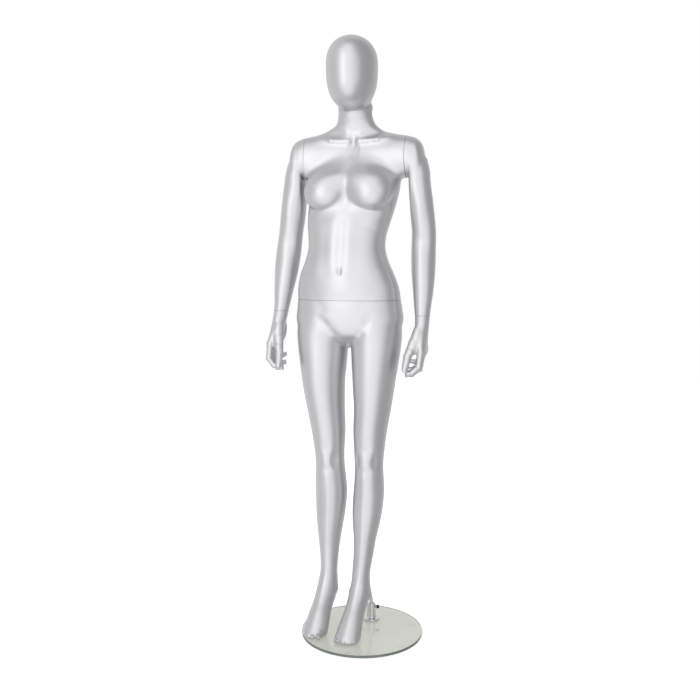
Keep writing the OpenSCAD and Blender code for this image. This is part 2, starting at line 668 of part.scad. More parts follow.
module at_wrist(side, z) {
  translate((side > 0 ? left_wrist : right_wrist) + [0, 0, z]) children();
}
module wrist_board(side) {
  wrist = side > 0 ? left_wrist : right_wrist;
  rows = side > 0 ? left_arm_rows : right_arm_rows;
  color(board) difference() {
    translate([0, 0, wrist[2] + 4]) opening_board(rows, wrist[2] + 4, wall + 1, wrist_board_t);
    at_wrist(side, 0) cylinder(r = 9 + fit, h = 40);
  }
}
module left_wrist_board() {
  wrist_board(1);
}
module right_wrist_board() {
  wrist_board(-1);
}
module wrist_socket(side) {
  color(steel) at_wrist(side, 1) difference() {
    union() {
      cylinder(r = wrist_flange_r, h = 2.9);
      cylinder(r = 9, h = 34);
    }
    translate([0, 0, -1]) cylinder(r = wrist_peg_d / 2 + run, h = 40);
  }
}
module left_wrist_socket() {
  wrist_socket(1);
}
module right_wrist_socket() {
  wrist_socket(-1);
}
module wrist_peg(side) {
  color(steel) {
    at_wrist(side, -24) cylinder(d = wrist_peg_d, h = 54);
    at_wrist(side, -4) cylinder(r = wrist_flange_r, h = 3.5);
  }
}
module left_wrist_peg() {
  wrist_peg(1);
}
module right_wrist_peg() {
  wrist_peg(-1);
}

module neck_board() {
  color(board) at_neck(-6 - board_t) difference() {
    cylinder(r = neck_board_r, h = board_t);
    translate([0, 0, -1]) cylinder(r = neck_sleeve_r + fit, h = board_t + 2);
  }
}
module neck_socket() {
  color(steel) at_neck() difference() {
    union() {
      translate([0, 0, -6]) cylinder(r = neck_plate_r, h = 4);
      translate([0, 0, -44]) cylinder(r = neck_sleeve_r, h = 40);
    }
    translate([0, 0, -50]) cylinder(r = peg_d / 2 + run, h = 60);
  }
}
module head_form(inset, steps, sides) {
  // Egg: half width, front and back depth follow the height above its middle.
  egg_up = 87;
  egg_down = 124;
  half_w = 72.5;
  front_d = 93;
  back_d = 97;
  heights = [for (k = [0:steps]) -cos(180 * k / steps)];
  points = [
    for (h = heights, k = [0:sides - 1])
      let (
        reach = (h > 0 ? egg_up : egg_down) - inset,
        round = (1 - abs(h) ^ (h > 0 ? 2.6 : 3)) ^ 0.5,
        taper = h < 0 ? 1 - 0.035 * abs(h) ^ 1.5 : 1,
        w = max((half_w - inset) * round * taper, 0.2),
        front = max((front_d - inset) * round, 0.2),
        back = max((back_d - inset) * round * (h < 0 ? 1 - 0.25 * abs(h) : 1), 0.2),
        c = cos(360 * k / sides),
        n = sin(360 * k / sides)
      ) [c * w, n * (n < 0 ? front : back), h * reach]
  ];
  translate(head_mid) polyhedron(points, ring_faces(steps + 1, sides), convexity = 4);
}
module head_shell() {
  color(silver) moulded() difference() {
    intersection() {
      union() {
        head_form(0, 18, 26);
        loft(neck_rows, levels(1560, 1640, 4), 22);
      }
      at_neck(seam_gap / 2) above_plane(0);
    }
    head_form(wall, 9, 14);
    intersection() {
      loft(neck_rows, levels(1550, 1640, 4), 14, wall);
      at_neck(-5) above_plane(0);
    }
  }
}
module head_board() {
  color(board) at_neck(6) difference() {
    cylinder(r = neck_board_r, h = board_t);
    translate([0, 0, -1]) cylinder(r = 2 + fit, h = board_t + 2);
  }
}
module head_peg() {
  color(steel) at_neck() {
    translate([0, 0, 1]) cylinder(r = neck_plate_r, h = 4.9);
    translate([0, 0, -38]) cylinder(d = peg_d, h = 40);
  }
}

glass_base();
base_pads();
rod_socket();
socket_gasket();
lower_gasket();
clamp_washer();
flange_bolt();
clamp_screw();
clamp_knob();
support_rod();
legs_shell();
calf_socket();
calf_plug();
legs_board();
waist_socket();
waist_socket_screws();
torso_shell();
torso_board();
waist_peg();
waist_peg_screws();
left_shoulder_board();
right_shoulder_board();
left_shoulder_socket();
right_shoulder_socket();
left_shoulder_screws();
right_shoulder_screws();
neck_board();
neck_socket();
left_spindle();
right_spindle();
left_spindle_ring();
right_spindle_ring();
left_arm_shell();
right_arm_shell();
left_arm_board();
right_arm_board();
left_arm_key();
right_arm_key();
left_arm_screws();
right_arm_screws();
left_wrist_board();
right_wrist_board();
left_wrist_socket();
right_wrist_socket();
left_hand();
right_hand();
left_wrist_peg();
right_wrist_peg();
head_shell();
head_board();
head_peg();
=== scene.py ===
from math import radians, sin, cos, pi
import bpy, bmesh
import numpy as np
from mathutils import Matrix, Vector


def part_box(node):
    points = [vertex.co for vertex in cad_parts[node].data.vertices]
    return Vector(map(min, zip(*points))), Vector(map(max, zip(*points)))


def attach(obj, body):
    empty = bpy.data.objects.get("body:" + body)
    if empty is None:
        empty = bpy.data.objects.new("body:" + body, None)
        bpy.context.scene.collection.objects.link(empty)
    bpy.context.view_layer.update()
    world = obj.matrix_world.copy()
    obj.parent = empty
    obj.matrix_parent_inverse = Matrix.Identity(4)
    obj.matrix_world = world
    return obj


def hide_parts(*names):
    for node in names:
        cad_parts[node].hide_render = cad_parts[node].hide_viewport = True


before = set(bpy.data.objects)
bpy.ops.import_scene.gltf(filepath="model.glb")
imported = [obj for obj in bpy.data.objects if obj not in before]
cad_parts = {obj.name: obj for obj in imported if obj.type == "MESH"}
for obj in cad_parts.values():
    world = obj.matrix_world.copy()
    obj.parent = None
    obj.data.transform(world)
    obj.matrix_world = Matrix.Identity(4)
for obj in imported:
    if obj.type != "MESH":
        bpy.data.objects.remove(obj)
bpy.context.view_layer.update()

scene = bpy.context.scene
mm = 0.001
print("frame loaded:", len(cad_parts), "nodes")

camera = {"yaw": 15, "pitch": 6.1, "away": 2.552, "aside": -0.037, "height": 1.147, "lens": 44.33}


def placeCamera(c):
    yaw = radians(c["yaw"])
    data = bpy.data.cameras.new("camera")
    data.lens = c["lens"]
    data.clip_end = 100
    cam = bpy.data.objects.new("camera", data)
    cam.location = (c["aside"] * cos(yaw) + c["away"] * sin(yaw),
                    c["aside"] * sin(yaw) - c["away"] * cos(yaw), c["height"])
    cam.rotation_euler = (radians(90 - c["pitch"]), 0, yaw)
    scene.collection.objects.link(cam)
    scene.camera = cam


placeCamera(camera)

# Clay fields, in millimetres. A field takes x, y, z and gives the distance to a surface, less than
# nothing inside it.


def softJoin(a, b, reach):
    h = np.maximum(reach - np.abs(a - b), 0) / reach
    return np.minimum(a, b) - h * h * h * reach / 6


def sectionAt(rows, z):
    # Smooth curve through the rows, each of which starts with its height
    rows = np.asarray(rows, float)
    heights = rows[:, 0]
    slopes = np.empty_like(rows)
    last = len(rows) - 1
    for i in range(last + 1):
        a, b = rows[max(i - 1, 0)], rows[min(i + 1, last)]
        slopes[i] = (b - a) / (b[0] - a[0])
    z = np.clip(z, heights[0], heights[-1])
    i = np.clip(np.searchsorted(heights, z, side="right") - 1, 0, last - 1)
    span = heights[i + 1] - heights[i]
    t = (z - heights[i]) / span
    wA, wB = 2 * t**3 - 3 * t**2 + 1, 3 * t**2 - 2 * t**3
    wC, wD = (t**3 - 2 * t**2 + t) * span, (t**3 - t**2) * span
    return [wA * rows[i, k] + wB * rows[i + 1, k] + wC * slopes[i, k] + wD * slopes[i + 1, k]
            for k in range(1, rows.shape[1])]


def stack(rows):
    # Rows: height, middle x, middle y, half width, front, back, roundness
    def field(x, y, z):
        midX, midY, half, front, back, power = sectionAt(rows, z)
        deep = np.where(y < midY, front, back)
        u, v = np.abs(x - midX) / half, np.abs(y - midY) / deep
        u, v = np.maximum(u, 1e-4), np.maximum(v, 1e-4)
        r = (u**power + v**power) ** (1 / power)
        fall = np.sqrt((u ** (power - 1) / half) ** 2 + (v ** (power - 1) / deep) ** 2) / r ** (power - 1)
        return (r - 1) / fall + np.maximum(rows[0][0] - z, 0) + np.maximum(z - rows[-1][0], 0)
    return field


def ball(mid, radii):
    def field(x, y, z):
        u, v, w = (x - mid[0]) / radii[0], (y - mid[1]) / radii[1], (z - mid[2]) / radii[2]
        far = np.sqrt(u * u + v * v + w * w) + 1e-6
        fall = np.sqrt((u / radii[0]) ** 2 + (v / radii[1]) ** 2 + (w / radii[2]) ** 2) + 1e-9
        return far * (far - 1) / fall
    return field


def rodFrom(a, b, ra, rb):
    a, b = np.array(a, float), np.array(b, float)
    d = b - a
    length = float(d @ d)

    def field(x, y, z):
        t = np.clip(((x - a[0]) * d[0] + (y - a[1]) * d[1] + (z - a[2]) * d[2]) / length, 0, 1)
        gap = np.sqrt((x - a[0] - t * d[0]) ** 2 + (y - a[1] - t * d[1]) ** 2 + (z - a[2] - t * d[2]) ** 2)
        return gap - ra - t * (rb - ra)
    return field


def swell(mid, spread, amount):
    # Soft raised or, with a negative amount, sunk place
    def change(x, y, z):
        e = sum(((v - m) / s) ** 2 for v, m, s in zip((x, y, z), mid, spread))
        return -amount * np.exp(-e)
    return change


def groove(a, b, width, depth):
    line = rodFrom(a, b, 0, 0)

    def change(x, y, z):
        return depth * np.exp(-((line(x, y, z) / width) ** 2))
    return change


def turned(field, pivot, degrees, mirrorX=False):
    c, s = cos(radians(degrees)), sin(radians(degrees))

    def moved(x, y, z):
        dx, dy = x - pivot[0], y - pivot[1]
        u, v = dx * c + dy * s, dy * c - dx * s
        return field(-u if mirrorX else u, v, z)
    return moved


# Clay to mesh
def gridLine(low, high, step):
    # One step all along, or (fine step, height it reaches, coarse step)
    if isinstance(step, tuple):
        fine = np.arange(low, step[1], step[0])
        return np.concatenate([fine, np.arange(fine[-1] + (step[0] + step[2]) / 2, high + step[2], step[2])])
    return np.arange(low, high + step, step)


def gridSkin(field, low, high, step):
    # Quads through every grid cell that the surface crosses
    lines = [gridLine(low[a], high[a], step[a]) for a in range(3)]
    size = [len(l) for l in lines]
    x, y, z = lines[0][:, None, None], lines[1][None, :, None], lines[2][None, None, :]
    value = np.broadcast_to(field(x, y, z), size)
    inside = value < 0
    corners = [(i, j, k) for i in (0, 1) for j in (0, 1) for k in (0, 1)]
    cut = [slice(0, -1), slice(1, None)]
    count = sum(inside[cut[i], cut[j], cut[k]].astype(np.int8) for i, j, k in corners)
    cell = np.argwhere((count > 0) & (count < 8))
    number = np.full([s - 1 for s in size], -1, np.int64)
    number[tuple(cell.T)] = np.arange(len(cell))
    total, hits = np.zeros((len(cell), 3)), np.zeros(len(cell))
    for axis in range(3):
        for i, j, k in corners:
            if (i, j, k)[axis]:
                continue
            a = cell + (i, j, k)
            b = a.copy()
            b[:, axis] += 1
            va, vb = value[tuple(a.T)], value[tuple(b.T)]
            crossed = (va < 0) != (vb < 0)
            t = np.where(crossed, va / np.where(crossed, va - vb, 1), 0)
            pa = np.stack([lines[n][a[:, n]] for n in range(3)], 1)
            pb = np.stack([lines[n][b[:, n]] for n in range(3)], 1)
            total += np.where(crossed[:, None], pa + (pb - pa) * t[:, None], 0)
            hits += crossed
    points = total / hits[:, None]
    faces = []
    for axis in range(3):
        u, v = [n for n in range(3) if n != axis]
        first, second = inside.take(range(size[axis] - 1), axis), inside.take(range(1, size[axis]), axis)
        edge = np.argwhere(first != second)
        for side in (u, v):
            edge = edge[(edge[:, side] > 0) & (edge[:, side] < size[side] - 1)]
        turnsOut = first[tuple(edge.T)]
        ring = []
        for du, dv in ((1, 1), (0, 1), (0, 0), (1, 0)):
            c = edge.copy()
            c[:, u] -= du
            c[:, v] -= dv
            ring.append(number[tuple(c.T)])
        ring = np.stack(ring, 1)
        flip = turnsOut if axis == 1 else ~turnsOut
        faces.append(np.where(flip[:, None], ring[:, ::-1], ring))
    return points, np.concatenate(faces)


def lean(field, p, h=0.3):
    # Direction in which the field grows fastest, and how fast
    g = np.empty_like(p)
    for a in range(3):
        off = np.zeros(3)
        off[a] = h
        up, down = p + off, p - off
        g[:, a] = (field(up[:, 0], up[:, 1], up[:, 2]) - field(down[:, 0], down[:, 1], down[:, 2])) / (2 * h)
    fast = np.linalg.norm(g, axis=1, keepdims=True) + 1e-9
    return g / fast, fast[:, 0]


def ontoSurface(field, p, steps, most):
    for _ in range(steps):
        n, fast = lean(field, p)
        d = field(p[:, 0], p[:, 1], p[:, 2]) / fast
        p = p - n * np.clip(d, -most, most)[:, None]
    return p


def evenOut(field, p, faces, rounds, most):
    # Slides points along the surface until the quads are even, then puts them back on it
    ends = np.concatenate([faces[:, [0, 1]], faces[:, [1, 2]], faces[:, [2, 3]], faces[:, [3, 0]]])
    joins = np.bincount(ends.ravel(), minlength=len(p)).astype(float)
    joins[joins == 0] = 1
    for _ in range(rounds):
        mean = np.stack([np.bincount(ends[:, 0], p[ends[:, 1], a], len(p)) +
                         np.bincount(ends[:, 1], p[ends[:, 0], a], len(p))
                         for a in range(3)], 1) / joins[:, None]
        n, _fast = lean(field, p)
        move = mean - p
        move -= n * (move * n).sum(1, keepdims=True)
        p = ontoSurface(field, p + 0.6 * move, 1, most)
    return p


def sculpt(name, field, low, high, step, cuts=(), deep=16):
    # cuts: (point on the seam, direction that is cut away, lowest height that the cut reaches)
    points, faces = gridSkin(field, low, high, step)
    most = 2.0
    points = ontoSurface(field, points, 2, most)
    points = evenOut(field, points, faces, 4, most)
    near = min(step[0], step[1]) * 0.3
    for at, way, lowest in cuts:
        at, way = np.array(at, float), np.array(way, float)
        off = (points - at) @ way + lip["round"]
        close = (np.abs(off) < near) & (points[:, 2] > lowest)
        points[close] -= off[close, None] * way
    bm = bmesh.new()
    verts = [bm.verts.new(p) for p in points]
    for f in faces:
        if len(set(f)) == 4:
            bm.faces.new([verts[i] for i in f])
    for at, way, lowest in cuts:
        cutSeam(bm, field, Vector(at), Vector(way).normalized(), lowest, deep)
    return finishMesh(name, bm)


# Rim of a moulded shell at a seam: rounded edge, in by the wall, then down past the board
lip = {"round": 0.7, "wall": 4.0}


def cutSeam(bm, field, at, way, lowest, deep):
    start = at - way * lip["round"]
    faces = [f for f in bm.faces if f.calc_center_median().z > lowest]
    geom = list({v for f in faces for v in f.verts}) + list({e for f in faces for e in f.edges}) + faces
    done = bmesh.ops.bisect_plane(bm, geom=geom, dist=1e-4, plane_co=start, plane_no=way, clear_outer=True)
    rim = [e for e in done["geom_cut"] if isinstance(e, bmesh.types.BMEdge) and e.is_boundary]
    ends = list({v for e in rim for v in e.verts})
    n, _fast = lean(field, np.array([list(v.co) for v in ends]))
    base = {}
    for v, out in zip(ends, n):
        inward = -Vector(out)
        inward -= way * inward.dot(way)
        base[v] = (v.co.copy(), inward.normalized())
    for along, into in ((0.35, 0.1), (0.6, 0.35), (lip["round"], 0.9), (lip["round"], lip["wall"]),
                        (-deep, lip["wall"])):
        made = bmesh.ops.extrude_edge_only(bm, edges=rim)["geom"]
        edges = [g for g in made if isinstance(g, bmesh.types.BMEdge) and g.is_boundary]
        after = {}
        for v in {v for e in edges for v in e.verts}:
            old = [e.other_vert(v) for e in v.link_edges if e.other_vert(v) in base]
            after[v] = base[old[0]]
        for v, (spot, inward) in after.items():
            v.co = spot + way * along + inward * into
        rim, base = edges, after
    bmesh.ops.holes_fill(bm, edges=rim, sides=0)


def finishMesh(name, bm, sharp=32, scale=mm):
    bmesh.ops.scale(bm, vec=(scale, scale, scale), verts=bm.verts[:])
    bmesh.ops.recalc_face_normals(bm, faces=bm.faces[:])
    mesh = bpy.data.meshes.new(name)
    bm.to_mesh(mesh)
    bm.free()
    mesh.shade_smooth()
    mesh.set_sharp_from_angle(angle=radians(sharp))
    obj = bpy.data.objects.new(name, mesh)
    scene.collection.objects.link(obj)
    return obj


def place(obj, body, slotName, material, *nodes):
    obj.data.materials.clear()
    obj.data.materials.append(material)
    if nodes:
        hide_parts(*nodes)
    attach(obj, body)
    return obj


def boxOf(node):
    low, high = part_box(node)
    return np.array(low) / mm, np.array(high) / mm


# The figure's tables, in millimetres
trunk = {
    # Rows: height, middle x, middle y, half width, front, back, roundness
    "rows": [
        [884, -38, -12, 4, 18, 12, 2], [893, -38, -10, 24, 42, 40, 2], [906, -38, -8, 62, 62, 72, 2],
        [925, -38, -7, 118, 82, 98, 2.2], [960, -37.5, -7, 157, 92, 107, 2.3],
        [1000, -37.5, -9, 157, 94, 102, 2.3], [1025, -38, -11, 154, 92, 95, 2.25],
        [1060, -39.5, -14, 151, 90, 84, 2.2], [1100, -41.5, -19, 139.5, 87, 72, 2.2],
        [1135, -42, -21, 125, 83, 66, 2.2], [1170, -42, -21, 115, 79, 64, 2.2],
        [1205, -42, -18, 115, 77, 67, 2.2], [1240, -39.5, -13, 121, 77, 74, 2.2],
        [1280, -34, -6, 127, 76, 83, 2.25], [1320, -27.5, 1, 130, 76, 88, 2.3],
        [1350, -23, 5, 131, 74, 88, 2.3], [1380, -20, 8, 127, 70, 85, 2.3],
        [1420, -18, 10, 114, 60, 74, 2.2], [1450, -18, 12, 96, 50, 60, 2.1],
        [1475, -18, 12, 74, 42, 50, 2], [1500, -18, 9, 50, 38, 44, 2]],
    "neck": [
        [1430, -18, 14, 84, 34, 46, 2], [1475, -18, 13, 88, 38, 48, 2], [1497, -18, 11, 80, 40, 48, 2],
        [1514, -20, 7, 70, 42, 48, 2], [1531, -20.5, 3, 57.5, 43, 47.5, 2],
        [1550, -21, -3, 50.5, 44, 47.5, 2], [1570, -21.5, -7, 48, 45, 47, 2],
        [1600, -21.5, -13, 47.5, 46, 47, 2], [1640, -21, -24, 44, 44, 45, 2]],
}
bust = {"out": 68, "mid": (-32, -54, 1329), "radii": (59, 47, 50), "tip": 82}
# Rows: distance from the chest's middle, minus height, middle y, half height, front, back, roundness
shoulder = {
    "mid": (-18, 2, 1437),
    "rows": [
        [20, -1452, 10, 70, 46, 52, 2], [60, -1450, 8, 65, 48, 52, 2], [90, -1446, 6, 62.5, 49, 51, 2],
        [120, -1441, 4, 60.5, 50, 51, 2], [149, -1437, 2, 59, 50, 50, 2.1],
        [170, -1433, 1, 57.5, 48, 48, 2.1], [186, -1429, 0, 51, 43, 43, 2.1],
        [196, -1427, 0, 35, 29, 29, 2], [202, -1425, 0, 6, 6, 6, 2]],
    "seam": 149, "drop": {1: 1, -1: -2.5},
}
neckSeam = {"at": (-20, -7.5, 1586.3), "lean": 28}
neckWay = (0, -sin(radians(neckSeam["lean"])), cos(radians(neckSeam["lean"])))
seamGap = 0.2
head = {"mid": (-21, -42, 1684), "half": 72.5, "front": 93, "back": 97, "up": 87, "down": 121, "top": 2.6}
arms = {
    1: [
        [962, 184, -26, 20.5, 23, 23, 2], [990, 183.5, -20, 22.5, 25, 25, 2],
        [1011, 183, -15, 25, 27, 27, 2], [1047, 182.5, -6, 29, 31, 30, 2],
        [1082, 181, 3, 32.5, 35, 33, 2], [1117, 179.5, 10, 35, 37, 35, 2],
        [1170, 178.5, 14, 36, 36, 36, 2], [1223, 180, 10, 35, 35, 35, 2],
        [1292, 172, 5, 37, 37, 38, 2], [1361, 161.5, 2, 38.5, 40, 42, 2],
        [1396, 160, 1, 37, 42, 44, 2], [1430, 157, 0, 30, 38, 40, 2], [1455, 152, 0, 18, 26, 28, 2]],
    -1: [
        [970, -248.5, -25, 20, 23, 23, 2], [990, -247, -21, 21.5, 25, 25, 2],
        [1011, -245, -15, 23.5, 27, 27, 2], [1047, -243.5, -6, 28, 31, 30, 2],
        [1082, -241, 3, 32.5, 35, 33, 2], [1117, -238.5, 10, 36, 37, 35, 2],
        [1170, -232.5, 14, 37.5, 36, 36, 2], [1223, -224, 10, 36, 35, 35, 2],
        [1292, -212.5, 5, 38.5, 37, 38, 2], [1361, -201, 2, 39.5, 40, 42, 2],
        [1396, -199, 1, 35, 42, 44, 2], [1430, -193, 0, 30, 38, 40, 2], [1455, -188, 0, 18, 26, 28, 2]],
}
legs = {
    1: [
        [118, -3.5, -9, 28.5, 42, 38, 2], [150, -3.5, -2, 27.5, 36, 35, 2],
        [184, -4, 3, 27, 31, 34, 2], [222, 0, 5, 28.5, 32, 36, 2], [260, 4.5, 5, 31, 36, 41, 2],
        [298, 8, 4, 34, 40, 47, 2], [336, 11.5, 3, 39.5, 44, 53, 2], [373, 15, 1, 44, 47, 57, 2],
        [410, 18.5, -1, 46, 49, 56, 2], [448, 22, -4, 46, 51, 50, 2], [485, 24, -8, 44, 53, 46, 2],
        [522, 24, -10, 42.5, 52, 47, 2], [559, 24, -10, 44, 52, 51, 2], [632, 27, -10, 50, 59, 60, 2],
        [705, 34.5, -11, 55.5, 67, 66, 2], [778, 38.5, -12, 63, 74, 72, 2],
        [850, 42, -10, 70, 80, 80, 2], [900, 43, -8, 75, 83, 88, 2], [940, 38, -8, 81, 84, 92, 2],
        [970, 34, -8, 78, 74, 84, 2], [1000, 30, -8, 46, 44, 50, 2]],
    -1: [
        [118, -112.5, 9, 28.5, 42, 38, 2], [150, -112, 16, 27.5, 36, 35, 2],
        [184, -111.5, 20, 26, 30, 33, 2], [222, -110.5, 21, 27.5, 31, 35, 2],
        [260, -109.5, 20, 31, 35, 40, 2], [298, -107.5, 17, 35.5, 40, 47, 2],
        [336, -105, 13, 40, 44, 53, 2], [373, -102, 9, 44, 47, 57, 2],
        [410, -98.5, 4, 46.5, 49, 56, 2], [448, -96.5, -2, 48, 51, 51, 2],
        [485, -96.5, -6, 46.5, 53, 47, 2], [522, -97.5, -8, 43.5, 52, 47, 2],
        [559, -99.5, -8, 44, 52, 51, 2], [632, -103.5, -8, 51, 59, 60, 2],
        [705, -111, -10, 57, 67, 66, 2], [778, -116.5, -12, 64, 74, 72, 2],
        [850, -118, -10, 71, 80, 80, 2], [900, -119, -8, 76, 83, 88, 2],
        [940, -114, -8, 81, 84, 92, 2], [970, -110, -8, 78, 74, 84, 2], [1000, -106, -8, 46, 44, 50, 2]],
}
# Height, then measures from the ankle, with the toes towards -y and the big toe towards -x
foot = {
    "rows": [
        [11.2, 0, -98, 31, 26, 16, 2.2], [15, 0, -98, 35, 35, 24, 2.2],
        [22, 0, -96, 37.5, 40, 26, 2.2], [30, 0, -92, 38, 40, 27, 2.1], [42, 0, -84, 37, 39, 27, 2],
        [55, 0, -74, 35, 39, 29, 2], [70, 0, -62, 33, 39, 33, 2], [85, 0, -48, 31, 41, 40, 2],
        [100, 0, -32, 30.5, 44, 49, 2], [118, 0, -17, 30, 46, 50, 2], [140, 0, -9, 27, 39, 40, 2],
        [168, 0, -2, 21, 28, 28, 2], [184, 0, 2, 10, 16, 16, 2]],
    "at": {1: (-3.5, 1), -1: (-112, 19)},
    "turn": {1: -9, -1: -8},
    "toes": [(-24, 10.5, -128), (-7, 8.5, -133), (6, 8, -130), (18, 7.5, -124), (29, 7.5, -116)],
    "floor": 11.3,
}
# Measured from the wrist seam, with the palm towards -x and the thumb towards -y
hand = {
    "palm": [
        [-121, 4, 0, 7, 32, 31, 2.3], [-112, 5, 0, 11.5, 37, 36, 2.3], [-98, 5, -1, 14.5, 39, 38, 2.3],
        [-80, 3.5, -1, 16, 36, 35, 2.2], [-60, 2, -1, 17.5, 31, 30, 2.1], [-40, 1, 0, 19, 26, 26, 2],
        [-20, 0, 0, 20.5, 24.5, 24.5, 2], [0, 0, 0, 21.5, 25, 25, 2], [12, 0, 1, 22, 25.5, 25.5, 2]],
    # Knuckle y and z, radius and the three bone lengths
    "fingers": [(-29, -106, 9.3, 40, 26, 21), (-10, -111, 9.5, 44, 28, 22),
                (9, -107, 9, 41, 26, 21), (26, -99, 8, 33, 20, 18)],
    "bends": {1: (5, 43, 70), -1: (6, 48, 92)},
    # Each finger after the first curls this much more at its three joints
    "curl": (2, 7, 10),
    "thumb": [(0, -9, -30, 12), (-17, -27, -78, 13.5), (-30, -38, -120, 11.5), (-35, -40, -155, 9.5)],
    "wrist": {1: (184, -21, 982), -1: (-247, -21, 990)},
    "tilt": {1: 3, -1: 11},
}
waistZ = 1025


def joinAll(first, others, reach):
    def field(x, y, z):
        d = first(x, y, z)
        for part in others:
            d = softJoin(d, part(x, y, z), reach)
        return d
    return field


def shoulderField(side):
    across = stack(shoulder["rows"])
    midX = shoulder["mid"][0]

    def field(x, y, z):
        return across(-z - shoulder["drop"][side], y, side * (x - midX))
    return field


def eggField(x, y, z):
    h = head
    up = (z - h["mid"][2]) / np.where(z > h["mid"][2], h["up"], h["down"])
    low = np.clip(-up, 0, 1.2)
    wide = h["half"] * (1 - 0.035 * low**1.5)
    deep = np.where(y < h["mid"][1], h["front"], h["back"] * (1 - 0.25 * low))
    u, v = (x - h["mid"][0]) / wide, (y - h["mid"][1]) / deep
    size = u * u + v * v + np.abs(up) ** np.where(up > 0, h["top"], 3) - 1
    rise = 3 * up**2 / np.where(up > 0, h["up"], h["down"])
    return size / (np.sqrt((2 * u / wide) ** 2 + (2 * v / deep) ** 2 + rise**2) + 0.004)


def headNeck(x, y, z):
    return softJoin(eggField(x, y, z), neckField(x, y, z), 12)


neckField = stack(trunk["neck"])
trunkField = stack(trunk["rows"])
chestX = shoulder["mid"][0]


def chestForm(x, y, z):
    # Rib cage and both shoulders, the same for the torso and for the arms' round tops
    d = trunkField(x, y, z)
    for side in (-1, 1):
        d = softJoin(d, shoulderField(side)(x, y, z) + np.maximum(1340 - z, 0), 26)
    return d


bustForms = [ball((bust["mid"][0] + s * bust["out"], *bust["mid"][1:]), bust["radii"]) for s in (-1, 1)]


collars = []
for s in (-1, 1):
    collars.append(rodFrom((chestX + s * 15, -33, 1479), (chestX + s * 68, -34.5, 1483), 5.5, 4))
    collars.append(rodFrom((chestX + s * 68, -34.5, 1483), (chestX + s * 122, -10, 1486), 4, 4))
cords = [rodFrom((chestX + s * 12, -27, 1484), (chestX - 2 + s * 42, 0, 1578), 4, 6) for s in (-1, 1)]
chestChanges = [
    swell((-88, 8, 1516), (32, 34, 14), 4.5),
    swell((chestX - 2, -40, 1470), (8, 14, 12), -3.6),
    swell((chestX - 2, -38, 1494), (12, 14, 10), -1.8),
    groove((chestX - 4, -75, 1440), (-34, -82, 1300), 18, 2.6),
    groove((-40, -88, 1256), (-42, -104, 1125), 15, 1.9),
    groove((-28, 92, 1430), (-38, 62, 1140), 17, 4.5),
    groove((-104, -80, 1262), (-52, -90, 1282), 16, 1.8),
    groove((28, -80, 1262), (-26, -90, 1282), 16, 1.8),
    groove((14, -86, 1240), (62, -66, 1226), 11, 1.9), swell((36, -84, 1254), (30, 20, 12), 1.6),
    swell((-70, -94, 1170), (18, 18, 60), 1.5), swell((-12, -94, 1170), (18, 18, 60), 1.5),
]
for s in (-1, 1):
    chestChanges += [
        swell((chestX + s * 66, 88, 1400), (34, 26, 48), 6.5),
        groove((chestX + s * 50, 92, 1345), (chestX + s * 98, 62, 1385), 12, 2.5),
        groove((chestX + s * 24, -42, 1468), (chestX + s * 96, -42, 1470), 12, 1.3),
        swell((chestX + s * 62, -26, 1503), (34, 18, 12), -3.5),
        swell((bust["mid"][0] + s * bust["tip"], -108, 1337), (6, 8, 6), 1.6),
        groove((-41 + s * 48, -96, 1250), (-42 + s * 44, -102, 1110), 22, 1.6),
    ]
# Changes that cross the waist seam belong to both sides of it
beltChanges = [
    swell((-42.5, -108, 1108), (6, 16, 10), -5.0),
    swell((-42, -100, 1065), (60, 30, 36), 4.0),
    groove((-38, 62, 1140), (-38, 88, 1010), 13, 4.0),
    swell((-62, 60, 1130), (16, 22, 60), 2.5), swell((-16, 60, 1130), (16, 22, 60), 2.5),
    groove((48, -76, 1050), (20, -92, 1000), 16, 1.6),
    groove((-124, -76, 1050), (-96, -92, 1000), 16, 1.6),
    swell((72, 66, 1012), (20, 20, 18), -3.0), swell((-148, 66, 1012), (20, 20, 18), -3.0),
]


def torsoField(x, y, z):
    d = chestForm(x, y, z)
    d = softJoin(d, headNeck(x, y, z), 30)
    # Flows out of the chest above and meets it in a crease below
    t = np.clip((z - 1290) / 100, 0, 1)
    reach = 11 + 104 * t * t * (3 - 2 * t)
    for part in bustForms:
        d = softJoin(d, part(x, y, z), reach)
    for part in collars + cords:
        d = softJoin(d, part(x, y, z), 16)
    for change in chestChanges + beltChanges:
        d = d + change(x, y, z)
    return d


def armField(side):
    arm = stack(arms[side])
    seam = chestX + side * shoulder["seam"]
    out = 1 if side > 0 else -1
    elbow = (181, 14, 1180) if side > 0 else (-228, 14, 1180)
    changes = [
        swell((elbow[0] + 4 * out, elbow[1] + 34, elbow[2] + 4), (13, 12, 20), 3.5),
        swell((elbow[0] - 14 * out, elbow[1] + 26, elbow[2] + 8), (8, 10, 16), -2.0),
        swell((elbow[0] + 24 * out, elbow[1] + 20, elbow[2] + 8), (8, 10, 16), -2.0),
        swell((elbow[0] - 4 * out, elbow[1] - 34, elbow[2] + 14), (20, 12, 22), -2.2),
        swell((elbow[0] - 6 * out, -32, 1290), (16, 14, 46), 2.0),
        swell((elbow[0] - 2 * out, -22, 1120), (18, 14, 50), 1.6),
    ]

    def field(x, y, z):
        d = chestForm(x, y, np.maximum(z, 1250.0)) + np.maximum(1330 - z, 0) * 1.0
        near = np.clip(1 - out * (x - seam) / 16, 0, 1.5)
        d = softJoin(d, arm(x, y, z) + 22 * near * near * (3 - 2 * near), 14)
        for change in changes:
            d = d + change(x, y, z)
        return d
    return field


